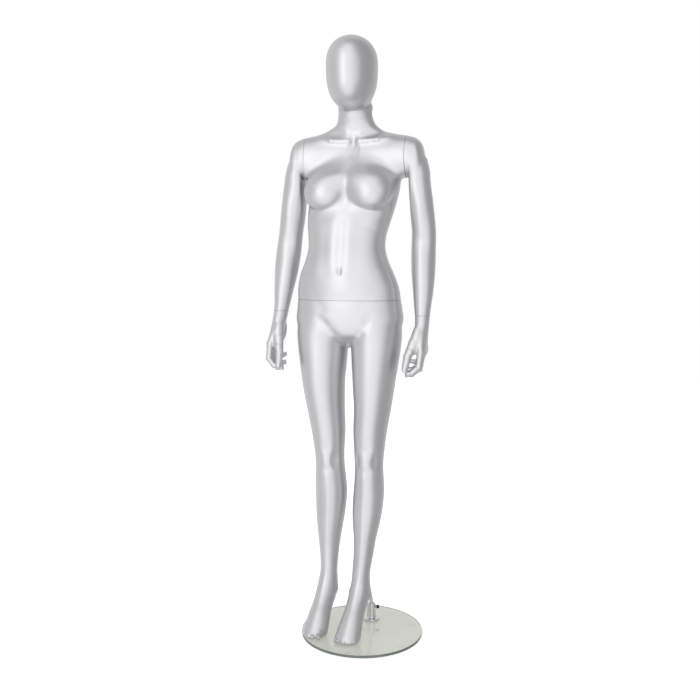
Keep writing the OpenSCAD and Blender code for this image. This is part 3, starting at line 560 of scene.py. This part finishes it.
def toesField(x, y, z):
    f = foot
    d = stack(f["rows"])(x, y, z)
    toes, nails = None, None
    for across, r, front in f["toes"]:
        knuckle = (across * 0.95, front + 12, f["floor"] + r * 1.25)
        one = rodFrom((across * 0.85, front + 40, f["floor"] + 16), knuckle, r + 1.5, r)
        tip = rodFrom(knuckle, (across, front, f["floor"] + r * 0.86), r, r * 0.84)
        one = joinAll(one, [tip], 3)(x, y, z)
        toes = one if toes is None else softJoin(toes, one, 1.2)
        nailAt = (across, front - r * 0.42, f["floor"] + r * 1.42)
        nail = ball(nailAt, (r * 0.56, r * 0.62, r * 0.34))(x, y, z)
        nails = nail if nails is None else np.minimum(nails, nail)
    d = softJoin(d, toes, 7)
    d = np.minimum(d, nails)
    return np.maximum(d, f["floor"] - z)


def footField(side):
    f = foot
    return turned(toesField, f["at"][side], f["turn"][side], side < 0)


def legField(side):
    leg = stack(legs[side])
    fx, fy = foot["at"][side]
    k = 24 if side > 0 else -97.5
    inner = -side
    ground = footField(side)
    changes = [
        swell((k + inner * 2, -62, 546), (17, 12, 19), 3.4),
        groove((k - 14, -60, 521), (k + 12, -60, 520), 9, 1.5),
        swell((k + inner * 3, -58, 494), (9, 10, 13), 2.0),
        swell((k + inner * 25, -48, 548), (8, 13, 28), -3.4),
        swell((k - inner * 25, -48, 548), (8, 13, 26), -2.4),
        swell((k, -62, 584), (16, 10, 12), -1.8),
        swell((k, 38, 530), (17, 16, 36), -4.5),
        swell((k - 22, 34, 545), (7, 10, 42), 1.8), swell((k + 22, 34, 545), (7, 10, 42), 1.8),
        swell((k - side * 16 - side * 8, 50, 372), (16, 18, 52), 2.6),
        swell((k - side * 8 + side * 22, 48, 388), (14, 18, 46), 2.0),
        groove((fx + inner * 4 + side * 6, fy - 32, 170), (k + inner * 5, -54, 470), 8, -1.5),
        swell((fx + inner * 30, fy - 12, 132), (9, 11, 12), 4.0),
        swell((fx - inner * 29, fy - 4, 122), (9, 11, 12), 4.0),
        swell((fx + 19, fy + 22, 160), (8, 9, 30), -3.0), swell((fx - 19, fy + 22, 160), (8, 9, 30), -3.0),
    ]

    def field(x, y, z):
        d = softJoin(leg(x, y, z), ground(x, y, z), 14)
        for change in changes:
            d = d + change(x, y, z)
        return d
    return field


hipChanges = [groove((-38, 92, 985), (-38, 78, 872), 9, 9.0), swell((-34, -90, 940), (30, 20, 26), 2.5)]
for line in (((-106, -95, 974), (-90, -96, 957), (-68, -94, 930), (-44, -89, 905)),
             ((44, -93, 985), (34, -93, 958), (14, -91, 928), (-10, -86, 903))):
    for a, b in zip(line, line[1:]):
        hipChanges.append(groove(a, b, 13, 2.0))
for s in (-1, 1):
    hipChanges += [
        swell((-38 + s * 132, 34, 955), (16, 26, 26), -3.0),
        groove((-38 + s * 30, 84, 868), (-38 + s * 82, 84, 858), 10, 3.0),
    ]


def legsField(x, y, z):
    d = trunkField(x, y, z)
    for s in (-1, 1):
        d = softJoin(d, ball((-38 + s * 66, 44, 930), (70, 58, 74))(x, y, z), 26)
    reach = np.clip((z - 852) / 3.0, 2, 22)
    for s in (-1, 1):
        d = softJoin(d, legField(s)(x, y, z), reach)
    for change in beltChanges + hipChanges:
        d = d + change(x, y, z)
    return d


def fingerPoints(f, side):
    y, z, r, one, two, three = f
    order = hand["fingers"].index(f)
    a, b, c = [radians(v + order * more) for v, more in zip(hand["bends"][side], hand["curl"])]
    p0 = (6, y, z)
    p1 = (p0[0] - one * sin(a), y, p0[2] - one * cos(a))
    p2 = (p1[0] - two * sin(b), y, p1[2] - two * cos(b))
    tip = three - r
    p3 = (p2[0] - tip * sin(c), y, p2[2] - tip * cos(c))
    return [p0 + (r + 1,), p1 + (r - 0.2,), p2 + (r - 1.2,), p3 + (r - 2,)]


def nailOn(a, b, back):
    # Flat oval on the back of the last bone
    end, start = np.array(b[:3]), np.array(a[:3])
    along = (end - start) / np.linalg.norm(end - start)
    up = np.array(back, float)
    up = up - along * (up @ along)
    up /= np.linalg.norm(up)
    side = np.cross(along, up)
    r = b[3]
    mid = end + up * r * 0.80 + along * r * 0.25

    def field(x, y, z):
        dx, dy, dz = x - mid[0], y - mid[1], z - mid[2]
        u = (dx * along[0] + dy * along[1] + dz * along[2]) / (r * 0.95)
        v = (dx * side[0] + dy * side[1] + dz * side[2]) / (r * 0.66)
        w = (dx * up[0] + dy * up[1] + dz * up[2]) / (r * 0.34)
        far = np.sqrt(u * u + v * v + w * w) + 1e-6
        return (far - 1) * r * 0.34
    return field


def handForm(x, y, z, side):
    h = hand
    palm = stack(h["palm"])(x, y, z)
    chains, nails = None, []
    for f in h["fingers"]:
        p = fingerPoints(f, side)
        one = None
        for a, b in zip(p, p[1:]):
            bone = rodFrom(a[:3], b[:3], a[3], b[3])(x, y, z)
            one = bone if one is None else softJoin(one, bone, 3)
        for j in p[1:3]:
            one = softJoin(one, ball((j[0] + 0.8, j[1], j[2]), (j[3] + 0.5,) * 3)(x, y, z), 4)
        chains = one if chains is None else softJoin(chains, one, 1.4)
        nails.append(nailOn(p[2], p[3], (1, 0, -0.4)))
        palm = palm + swell((p[0][0] + 13, p[0][1], p[0][2] + 2), (7, 7, 9), 2.0)(x, y, z)
    d = softJoin(palm, chains, 9)
    t = h["thumb"]
    thumb = None
    for a, b in zip(t, t[1:]):
        bone = rodFrom(a[:3], b[:3], a[3], b[3])(x, y, z)
        thumb = bone if thumb is None else softJoin(thumb, bone, 4)
    thumb = softJoin(thumb, ball((-24, -36, -104), (12, 12, 13))(x, y, z), 4)
    d = softJoin(d, ball((-9, -16, -66), (16, 20, 36))(x, y, z), 14)
    d = softJoin(d, ball((-8, 18, -66), (14, 16, 36))(x, y, z), 14)
    d = softJoin(d, ball((-13, -30, -92), (9, 9, 20))(x, y, z), 10)
    d = softJoin(d, thumb, 10)
    d = d + swell((-14, 2, -78), (8, 13, 24), -2.6)(x, y, z)
    nails.append(nailOn(t[2], t[3], (0, -1, 0.2)))
    for nail in nails:
        d = np.minimum(d, nail(x, y, z))
    return d


def handField(side):
    at, c, s = hand["wrist"][side], cos(radians(hand["tilt"][side])), sin(radians(hand["tilt"][side]))

    def field(x, y, z):
        dx, dy, dz = x - at[0], y - at[1], z - at[2]
        u, w = dx * c - dz * s, dx * s + dz * c
        return handForm(-u if side < 0 else u, dy, w, side)
    return field


print("forms ready")
# Sculpted skins of the figure
torsoSkin = sculpt(
    "torso_skin", torsoField, (-206, -128, 1010), (146, 112, 1640), (3.6, 3.6, 3.6),
    [((0, 0, waistZ + seamGap), (0, 0, -1), 0),
     ((chestX + shoulder["seam"] - seamGap, 0, 0), (1, 0, 0), 1250),
     ((chestX - shoulder["seam"] + seamGap, 0, 0), (-1, 0, 0), 1250),
     (tuple(np.array(neckSeam["at"]) - seamGap * np.array(neckWay)), neckWay, 1250)])
print("torso", len(torsoSkin.data.polygons))
legsSkin = sculpt("legs_skin", legsField, (-204, -152, 8), (130, 116, 1040), (2.9, 2.9, (2.2, 120, 4.4)),
                  [((0, 0, waistZ - seamGap), (0, 0, 1), 0)])
print("legs", len(legsSkin.data.polygons))
armSkins = {}
for s, sideName in ((1, "left"), (-1, "right")):
    low, high = ((128, -62, 965), (228, 70, 1512)) if s > 0 else ((-290, -62, 972), (-164, 70, 1512))
    wrist = hand["wrist"][s]
    armSkins[s] = sculpt(sideName + "_arm_skin", armField(s), low, high, (2.8, 2.8, 3.6),
                         [((chestX + s * (shoulder["seam"] + seamGap), 0, 0), (-s, 0, 0), 1250),
                          ((0, 0, wrist[2] + seamGap), (0, 0, -1), 0)])
handSkins = {}
for s, sideName in ((1, "left"), (-1, "right")):
    wrist = hand["wrist"][s]
    x0, x1 = (118, 226) if s > 0 else (-304, -204)
    handSkins[s] = sculpt(sideName + "_hand_skin", handField(s), (x0, -84, 780),
                          (x1, 44, wrist[2] + 8), (1.5, 1.5, 1.6),
                          [((0, 0, wrist[2] - seamGap), (0, 0, 1), 0)], deep=4.2)
print("arms and hands", len(handSkins[1].data.polygons))
headSkin = sculpt("head_skin", headNeck, (-100, -142, 1520), (60, 66, 1786), (3, 3, 3),
                  [(tuple(np.array(neckSeam["at"]) + seamGap * np.array(neckWay)),
                    tuple(-v for v in neckWay), 0)])
print("head", len(headSkin.data.polygons))


# Turned, bent and moulded pieces
def supported(profile, near=0.4):
    # Extra points close to the ends of long straight runs keep flats flat beside rounded edges
    out = [profile[0]]
    for (r1, h1), (r2, h2) in zip(profile, profile[1:]):
        span = ((r2 - r1) ** 2 + (h2 - h1) ** 2) ** 0.5
        if span > 5 * near:
            for t in (near / span, 1 - near / span):
                out.append((r1 + (r2 - r1) * t, h1 + (h2 - h1) * t))
        out.append((r2, h2))
    return out


def turnedPiece(name, profile, at=(0, 0, 0), way=(0, 0, 1), count=64, closed=True, sharp=35):
    # Profile: radius and distance along the axis, joined end to end where closed
    bm = bmesh.new()
    spin = Vector((0, 0, 1)).rotation_difference(Vector(way))
    rings = []
    for r, h in supported(profile):
        if r < 1e-6:
            rings.append([bm.verts.new(spin @ Vector((0, 0, h)) + Vector(at))])
            continue
        ring = []
        for k in range(count):
            a = 2 * pi * k / count
            ring.append(bm.verts.new(spin @ Vector((r * cos(a), r * sin(a), h)) + Vector(at)))
        rings.append(ring)
    pairs = list(zip(rings, rings[1:])) + ([(rings[-1], rings[0])] if closed else [])
    for a, b in pairs:
        for k in range(count):
            spots = [a[k % len(a)], a[(k + 1) % len(a)], b[(k + 1) % len(b)], b[k % len(b)]]
            face = [v for i, v in enumerate(spots) if v not in spots[:i]]
            if len(face) > 2:
                bm.faces.new(face)
    return finishMesh(name, bm, sharp)


def roundOver(r, h, radius, start, steps=4):
    # Quarter circle of points about a corner, from one direction in degrees to 90 further
    turns = [radians(start + 90 * i / steps) for i in range(steps + 1)]
    return [(r + radius * cos(a), h + radius * sin(a)) for a in turns]


def cutHole(obj, cutter):
    # Takes the cutter away from the piece for good
    modifier = obj.modifiers.new("hole", "BOOLEAN")
    modifier.object = cutter
    modifier.solver = "EXACT"
    modifier.operation = "DIFFERENCE"
    sight = bpy.context.evaluated_depsgraph_get()
    mesh = bpy.data.meshes.new_from_object(obj.evaluated_get(sight))
    obj.modifiers.clear()
    old = obj.data
    obj.data = mesh
    obj.data.name = obj.name
    bpy.data.meshes.remove(old)
    bpy.data.objects.remove(cutter)
    mesh.shade_smooth()
    mesh.set_sharp_from_angle(angle=radians(30))


glassLow, glassHigh = boxOf("glass_base")
glass = {"radius": glassHigh[0], "edge": 1.3, "bolt": 5, "count": 256}
socket = {"x": 10, "y": 80, "heading": -100, "lean": 20, "bend": 40, "straight": 118, "grip": 85}
r, e = glass["radius"], glass["edge"]
glassPiece = turnedPiece(
    "glass_plate", [(0, glassLow[2])] + roundOver(r - e, glassLow[2] + e, e, -90) +
    roundOver(r - e, glassHigh[2] - e, e, 0) + [(0, glassHigh[2])], count=glass["count"], closed=False)
cutHole(glassPiece, turnedPiece("drill", [(0, 0), (glass["bolt"], 0), (glass["bolt"], 20), (0, 20)],
                                (socket["x"], socket["y"], 0), count=32, closed=False))
pads = []
padR, padH = 10, glassLow[2]
for k in range(7):
    a = radians(30 + 60 * k)
    at = (0, 0, 0) if k == 6 else (160 * cos(a), 160 * sin(a), 0)
    padProfile = [(0, 0)] + roundOver(padR - 0.8, 0.8, 0.8, -90) + roundOver(padR - 0.4, padH - 0.4, 0.4, 0)
    pads.append(turnedPiece("pad" + str(k), padProfile + [(0, padH)], at, count=40, closed=False))


def joined(name, parts):
    bm = bmesh.new()
    for part in parts:
        bm.from_mesh(part.data)
        old = part.data
        bpy.data.objects.remove(part)
        bpy.data.meshes.remove(old)
    return finishMesh(name, bm, scale=1)


padsPiece = joined("clear_pads", pads)
socketLow, socketHigh = boxOf("rod_socket")
socketBore = 6.05
z0, z1 = socketLow[2], socketHigh[2]
profile = [(4.05, z0), (26.4, z0), (27, z0 + 0.6)] + roundOver(25.6, z0 + 2.6, 1.4, 0) + [(24.4, z0 + 4.1)]
profile += [(18.5, z0 + 4.4), (16.6, z0 + 4.8), (15.3, z0 + 5.8), (14.7, z0 + 7.2), (14.5, z0 + 9)]
profile += [(14.0, z0 + 20), (13.3, z0 + 33), (12.7, z1 - 2)] + roundOver(11.7, z1 - 1, 1.0, 0)
profile += [(7.2, z1), (6.6, z1 - 0.4), (6.1, z1 - 1.4), (socketBore, z1 - 2.6), (socketBore, z0 + 7)]
profile += [(4.05, z0 + 7)]
socketPiece = turnedPiece("rod_socket_turned", profile, (socket["x"], socket["y"], 0), count=72)
screwWay = (cos(radians(20)), sin(radians(20)), 0)
screwZ = glassHigh[2] + 38
screwAt = (socket["x"], socket["y"], screwZ)
cutHole(socketPiece, turnedPiece("drill", [(0, 3), (3.05, 3), (3.05, 30), (0, 30)], screwAt, screwWay,
                                 24, False))


def rodBend(degrees):
    # Point on the rod's bend where it leans by so much, and its direction there
    h, l, b = radians(socket["heading"]), radians(degrees), socket["bend"]
    aside = b * (1 - cos(l))
    spot = Vector((socket["x"] + aside * cos(h), socket["y"] + aside * sin(h), z1 - 2 + b * sin(l)))
    return spot, Vector((sin(l) * cos(h), sin(l) * sin(h), cos(l)))


def alongRod(t):
    # The same on its lean part, in millimetres from the end of the bend
    start, way = rodBend(socket["lean"])
    return start + way * t, way


def rodPath():
    out = [(Vector((socket["x"], socket["y"], z0 + 7.4 + k * 7.8)), Vector((0, 0, 1))) for k in range(5)]
    out += [rodBend(socket["lean"] * k / 12) for k in range(13)]
    return out + [alongRod(t) for t in (10, 40, 80, 120, 160, socket["straight"] + socket["grip"])]


def tube(name, path, r, count=40, ease=0.8):
    bm = bmesh.new()
    rings = []
    spots = [(path[0][0], path[0][1], r - ease)] + [(p + (w * ease if i == 0 else w * 0), w, r)
                                                  for i, (p, w) in enumerate(path[:-1])]
    end, way = path[-1]
    spots += [(end - way * ease, way, r), (end, way, r - ease)]
    side = Vector((1, 0, 0))
    for p, w, radius in spots:
        u = (side - w * side.dot(w)).normalized()
        v = w.cross(u)
        turns = [2 * pi * k / count for k in range(count)]
        rings.append([bm.verts.new(p + radius * (u * cos(a) + v * sin(a))) for a in turns])
    for a, b in zip(rings, rings[1:]):
        for k in range(count):
            bm.faces.new((a[k], a[(k + 1) % count], b[(k + 1) % count], b[k]))
    bm.faces.new(rings[0][::-1])
    bm.faces.new(rings[-1])
    return finishMesh(name, bm, 40)


rodPiece = tube("support_rod_bent", rodPath(), 6)
at, way = alongRod(socket["straight"] - 6)
calfTube = turnedPiece("calf_tube", [(6.05, 0), (9.6, 0), (10.2, 0.3), (11, 1.6), (11, 2.4), (10.4, 3),
                                     (9, 3.2), (9, 97), (6.05, 97)], at, way, 56)


def ridged(name, at, way, length, radius, count, rows):
    # Wall whose radius follows angle and distance along, closed at both ends
    bm = bmesh.new()
    spin = Vector((0, 0, 1)).rotation_difference(Vector(way))
    rings = []
    for i in range(rows + 1):
        h = length * i / rows
        ring = []
        for k in range(count):
            a = 2 * pi * k / count
            spot = Vector((radius(a, h) * cos(a), radius(a, h) * sin(a), h))
            ring.append(bm.verts.new(spin @ spot + Vector(at)))
        rings.append(ring)
    for a, b in zip(rings, rings[1:]):
        for k in range(count):
            bm.faces.new((a[k], a[(k + 1) % count], b[(k + 1) % count], b[k]))
    for ring, flip in ((rings[0], True), (rings[-1], False)):
        bm.faces.new(ring[::-1] if flip else ring)
    return finishMesh(name, bm, 60)


screw = {"r": 3, "pitch": 1.0, "deep": 0.45, "length": 17, "from": 6.1}


def threadRadius(a, h):
    turn = (h / screw["pitch"] - a / (2 * pi)) % 1
    fade = min(1, h / 1.2, (screw["length"] - h) / 1.2)
    return screw["r"] - 0.05 - screw["deep"] * abs(2 * turn - 1) * fade - 0.5 * (1 - fade)


screwStart = tuple(Vector(screwAt) + Vector(screwWay) * screw["from"])
screwPiece = ridged("clamp_screw_threaded", screwStart, screwWay, screw["length"], threadRadius,
                    32, screw["length"] * 8)
knob = {"r": 5.5, "grips": 8, "length": 9, "from": 16}


def knobRadius(a, h):
    edge = max(0, 1.2 - h, h - knob["length"] + 1.2) / 1.2
    grip = max(0, cos(knob["grips"] * a)) ** 2 * 0.75
    return (knob["r"] - grip) - 1.0 * edge ** 2


knobStart = tuple(Vector(screwAt) + Vector(screwWay) * knob["from"])
knobPiece = ridged("clamp_knob_moulded", knobStart, screwWay, knob["length"], knobRadius, 96, 18)
print("base pieces ready")


# Materials. A pattern's size is the real one in millimetres, so its scale is repeats per metre
def linear(code):
    parts = [int(code[i:i + 2], 16) / 255 for i in (1, 3, 5)]
    return [c / 12.92 if c <= 0.04045 else ((c + 0.055) / 1.055) ** 2.4 for c in parts] + [1]


def newMaterial(name, plain):
    material = bpy.data.materials.new(name)
    material.use_nodes = True
    shader = material.node_tree.nodes["Principled BSDF"]
    for key, value in plain.items():
        shader.inputs[key].default_value = value
    return material, material.node_tree, shader


def addNode(tree, kind, links, **settings):
    # links: socket name or number to a value or to another node's output
    node = tree.nodes.new(kind)
    for key, value in settings.items():
        setattr(node, key, value)
    for key, value in links.items():
        if isinstance(value, bpy.types.NodeSocket):
            tree.links.new(value, node.inputs[key])
        else:
            node.inputs[key].default_value = value
    return node


def finish(name, plain, **patterns):
    # plain: the shader's even values. Patterns are tone, rough and bump, each drawn by a noise so many
    # mm across, by crystals, or with flakes added as painted glints in the tone; drawn less than 1 along an
    # axis, it runs that way
    material, tree, shader = newMaterial(name, plain)
    spot = addNode(tree, "ShaderNodeTexCoord", {}).outputs["Object"]
    for use, p in patterns.items():
        squash = {"Vector": spot, "Scale": p.get("drawn", (1, 1, 1))}
        at = addNode(tree, "ShaderNodeMapping", squash).outputs[0]
        source = {"Vector": at, "Scale": 1000 / p["mm"]}
        if p.get("crystals"):
            value = addNode(tree, "ShaderNodeTexVoronoi", source).outputs["Distance"]
        else:
            source["Detail"] = p.get("detail", 2.0)
            value = addNode(tree, "ShaderNodeTexNoise", source).outputs["Fac"]
        if use == "bump":
            bump = addNode(tree, "ShaderNodeBump", {"Height": value, "Distance": p["deep"] * mm})
            tree.links.new(bump.outputs["Normal"], shader.inputs["Normal"])
            continue
        # Flakes: random cells brightened in the tone, a painted glint that stands for their sparkle
        if "flakes" in p:
            flakes = addNode(tree, "ShaderNodeTexVoronoi", {"Vector": at, "Scale": 1000 / p["flakes"]})
            mix = {0: flakes.outputs["Color"], 1: p["paintedGlint"], 2: value}
            value = addNode(tree, "ShaderNodeMath", mix, operation="MULTIPLY_ADD").outputs[0]
        if "between" in p:
            low, high = p["between"]
            value = addNode(tree, "ShaderNodeMapRange", {"Value": value, "From Min": 0.25, "From Max": 0.75,
                                                         "To Min": low, "To Max": high}).outputs["Result"]
        if use == "tone":
            mix = {0: value, 6: linear(p["from"]), 7: linear(p["to"])}
            value = addNode(tree, "ShaderNodeMix", mix, data_type="RGBA").outputs[2]
        tree.links.new(value, shader.inputs["Base Color" if use == "tone" else "Roughness"])
    return material


# Silver lacquer sprayed over primed glass fibre: satin, soft-edged highlights, with a faint sparkle painted
# into the tone as glints on the flakes.
# Real flakes are 0.05 mm; drawn at about 1 mm so that they show
silver = finish("silverLacquerSprayed", {"Metallic": 0.82},
                tone={"mm": 160, "detail": 3.0, "flakes": 1.1, "paintedGlint": 0.35, "between": (0.0, 0.8),
                      "from": "#C6C6CA", "to": "#D3D3D5"},
                rough={"mm": 160, "detail": 3.0, "between": (0.33, 0.39)}, bump={"mm": 4.0, "deep": 0.012})
# Tempered soda-lime float glass: clear with a grey-green cast from its iron
glassMaterial = finish("floatGlassTempered", {"Roughness": 0.015, "IOR": 1.52, "Transmission Weight": 0.9},
                       tone={"mm": 90, "from": "#DCDED6", "to": "#E2E4DC"})
# Ground and polished edge of the glass, where it looks darkest and greenest
rimMaterial = finish("floatGlassPolishedEdge", {"IOR": 1.52, "Transmission Weight": 0.25},
                     tone={"mm": 40, "from": "#646D66", "to": "#7D867E"},
                     rough={"mm": 2.0, "between": (0.06, 0.14)})
# Bright chromium plate on buffed steel: mirror-like, with hairlines left by the buffing wheel
bright = finish("chromePlateBuffed", {"Base Color": linear("#DDDEDF"), "Metallic": 1.0},
                rough={"mm": 1.5, "drawn": (1, 1, 0.1), "between": (0.05, 0.11)},
                bump={"mm": 1.5, "drawn": (1, 1, 0.1), "deep": 0.002})
# Mild steel with barrel zinc plate: pale grey, slightly mottled crystals
steel = finish("mildSteelZincPlated", {"Metallic": 1.0},
               tone={"mm": 2.5, "crystals": True, "between": (0, 1), "from": "#9EA2A6", "to": "#BABDBF"},
               rough={"mm": 3.0, "between": (0.28, 0.42)}, bump={"mm": 1.2, "deep": 0.01})
# Medium density fibreboard, sanded: dull tan with short pressed fibres
boardMaterial = finish("fibreboardSanded", {},
                       tone={"mm": 1.5, "detail": 4.0, "drawn": (1, 0.3, 1),
                             "from": "#8C6B45", "to": "#B4926A"},
                       rough={"mm": 5.0, "between": (0.78, 0.9)},
                       bump={"mm": 1.0, "drawn": (1, 0.3, 1), "deep": 0.03})
# Cut EPDM sheet: near-black and dull
black = finish("epdmRubberCut", {"Roughness": 0.62}, tone={"mm": 3.0, "from": "#1A1A1B", "to": "#242425"},
               bump={"mm": 0.8, "deep": 0.01})
# Cast clear polyurethane bumpers: water-clear with a faint haze
padMaterial = finish("polyurethaneCastClear", {"Base Color": linear("#EEF0EE"), "IOR": 1.49, "Alpha": 0.12},
                     rough={"mm": 2.0, "between": (0.1, 0.2)})
# Injection-moulded ABS with a fine spark-eroded grain
knobMaterial = finish("absMouldedBlack", {"Base Color": linear("#161617")},
                      rough={"mm": 1.0, "between": (0.36, 0.48)}, bump={"mm": 0.6, "deep": 0.008})
print("materials ready")

place(torsoSkin, "torso", "silver_paint", silver, "torso_shell")
place(legsSkin, "legs", "silver_paint", silver, "legs_shell")
place(headSkin, "head", "silver_paint", silver, "head_shell")
for s, sideName in ((1, "left"), (-1, "right")):
    place(armSkins[s], sideName + "_arm", "silver_paint", silver, sideName + "_arm_shell")
    place(handSkins[s], sideName + "_palm", "silver_paint", silver, sideName + "_hand")
place(glassPiece, "base", "tempered_glass", glassMaterial, "glass_base")
glassPiece.data.materials.append(rimMaterial)
for face in glassPiece.data.polygons:
    out = Vector((face.center.x, face.center.y, 0)).length
    if abs(face.normal.z) < 0.9 and out > 0.15:
        face.material_index = 1
place(padsPiece, "base", "clear_pads", padMaterial, "base_pads")
place(socketPiece, "base", "polished_chrome", bright, "rod_socket")
place(rodPiece, "rod", "polished_chrome", bright, "support_rod")
place(calfTube, "legs", "polished_chrome", bright, "calf_socket")
place(screwPiece, "clamp", "polished_chrome", bright, "clamp_screw")
place(knobPiece, "clamp", "black_knob", knobMaterial, "clamp_knob")
# Fittings that only show when the figure is taken apart keep their working shapes
for name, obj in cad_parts.items():
    kind = (boardMaterial, "board") if name.endswith("_board") else (steel, "zinc_steel")
    if "gasket" in name:
        kind = (black, "gasket_rubber")
    obj.data.materials.clear()
    obj.data.materials.append(kind[0])
    obj.data.shade_smooth()
    obj.data.set_sharp_from_angle(angle=radians(30))

# Floor: pale and even, lit by its own glow, with a painted shadow: the glow is a little weaker close to the
# figure
floorBm = bmesh.new()
bmesh.ops.create_grid(floorBm, x_segments=24, y_segments=24, size=6)
floorMesh = bpy.data.meshes.new("floor")
floorBm.to_mesh(floorMesh)
floorBm.free()
floor = bpy.data.objects.new("floor", floorMesh)
floor.location.z = -0.0005
scene.collection.objects.link(floor)
floor.visible_glossy = False
floorMaterial, tree, shader = newMaterial("floorMattWhitePaintedShadow", {
    "Base Color": linear("#E7E7E7"), "Roughness": 0.9, "Emission Color": (1, 1, 1, 1),
    "Specular IOR Level": 0.1})
spot = addNode(tree, "ShaderNodeTexCoord", {}).outputs["Object"]
far = addNode(tree, "ShaderNodeVectorMath", {0: spot}, operation="LENGTH").outputs["Value"]
# Painted shadow: the glow falls from 0.7 far out to 0.62 close to the figure
fade = {"Value": far, "From Min": 0.15, "From Max": 1.1, "To Min": 0.62, "To Max": 0.7}
glow = addNode(tree, "ShaderNodeMapRange", fade, interpolation_type="SMOOTHSTEP").outputs["Result"]
tree.links.new(glow, shader.inputs["Emission Strength"])
floorMesh.materials.append(floorMaterial)

# Light: an even white room with three tall soft glows in it, and two weak softboxes
studio = {"key": (0.10, -1.0, 0.05), "back": (-0.3, 0.95, 0.0), "left": (-1.0, -0.35, 0.0), "base": 0.38,
          "keyGain": 0.92, "backGain": 0.4, "leftGain": 0.32}
world = bpy.data.worlds.new("studio")
scene.world = world
world.use_nodes = True
tree = world.node_tree
tree.nodes.clear()
seenWay = addNode(tree, "ShaderNodeTexCoord", {}).outputs["Generated"]
# Squashed in height, so that each glow stands tall like a strip of softboxes
flat = addNode(tree, "ShaderNodeVectorMath", {0: seenWay, 1: (1, 1, 0.3)}, operation="MULTIPLY").outputs[0]
way = addNode(tree, "ShaderNodeVectorMath", {0: flat}, operation="NORMALIZE").outputs[0]


def glowTowards(direction, start, gain):
    length = Vector(direction).length
    aim = addNode(tree, "ShaderNodeVectorMath", {0: way, 1: tuple(c / length for c in direction)},
                  operation="DOT_PRODUCT").outputs["Value"]
    spread = {"Value": aim, "From Min": start, "From Max": 1.0, "To Min": 0.0, "To Max": gain}
    return addNode(tree, "ShaderNodeMapRange", spread, interpolation_type="SMOOTHSTEP").outputs["Result"]


total = studio["base"]
for key, start in (("key", 0.42), ("back", 0.2), ("left", 0.3)):
    glow = glowTowards(studio[key], start, studio[key + "Gain"])
    total = addNode(tree, "ShaderNodeMath", {0: glow, 1: total}, operation="ADD").outputs[0]
seen = addNode(tree, "ShaderNodeLightPath", {}).outputs["Is Camera Ray"]
room = addNode(tree, "ShaderNodeBackground", {"Color": (1, 1, 1, 1), "Strength": total}).outputs[0]
sky = addNode(tree, "ShaderNodeBackground", {"Color": (1, 1, 1, 1), "Strength": 1.0}).outputs[0]
mixed = addNode(tree, "ShaderNodeMixShader", {0: seen, 1: room, 2: sky}).outputs[0]
addNode(tree, "ShaderNodeOutputWorld", {"Surface": mixed})


def softbox(name, at, aim, size, power):
    data = bpy.data.lights.new(name, "AREA")
    data.shape = "RECTANGLE"
    data.size, data.size_y = size
    data.energy = power
    lamp = bpy.data.objects.new(name, data)
    lamp.location = at
    lamp.rotation_euler = (Vector(aim) - Vector(at)).to_track_quat("-Z", "Y").to_euler()
    scene.collection.objects.link(lamp)


softbox("keyLight", (-0.9, -2.9, 1.7), (0, 0, 0.9), (1.0, 2.6), 5)
softbox("fillLight", (2.6, -1.6, 1.6), (0, 0, 1.0), (0.8, 2.0), 2)
scene.view_settings.view_transform = "Standard"
print("light ready")
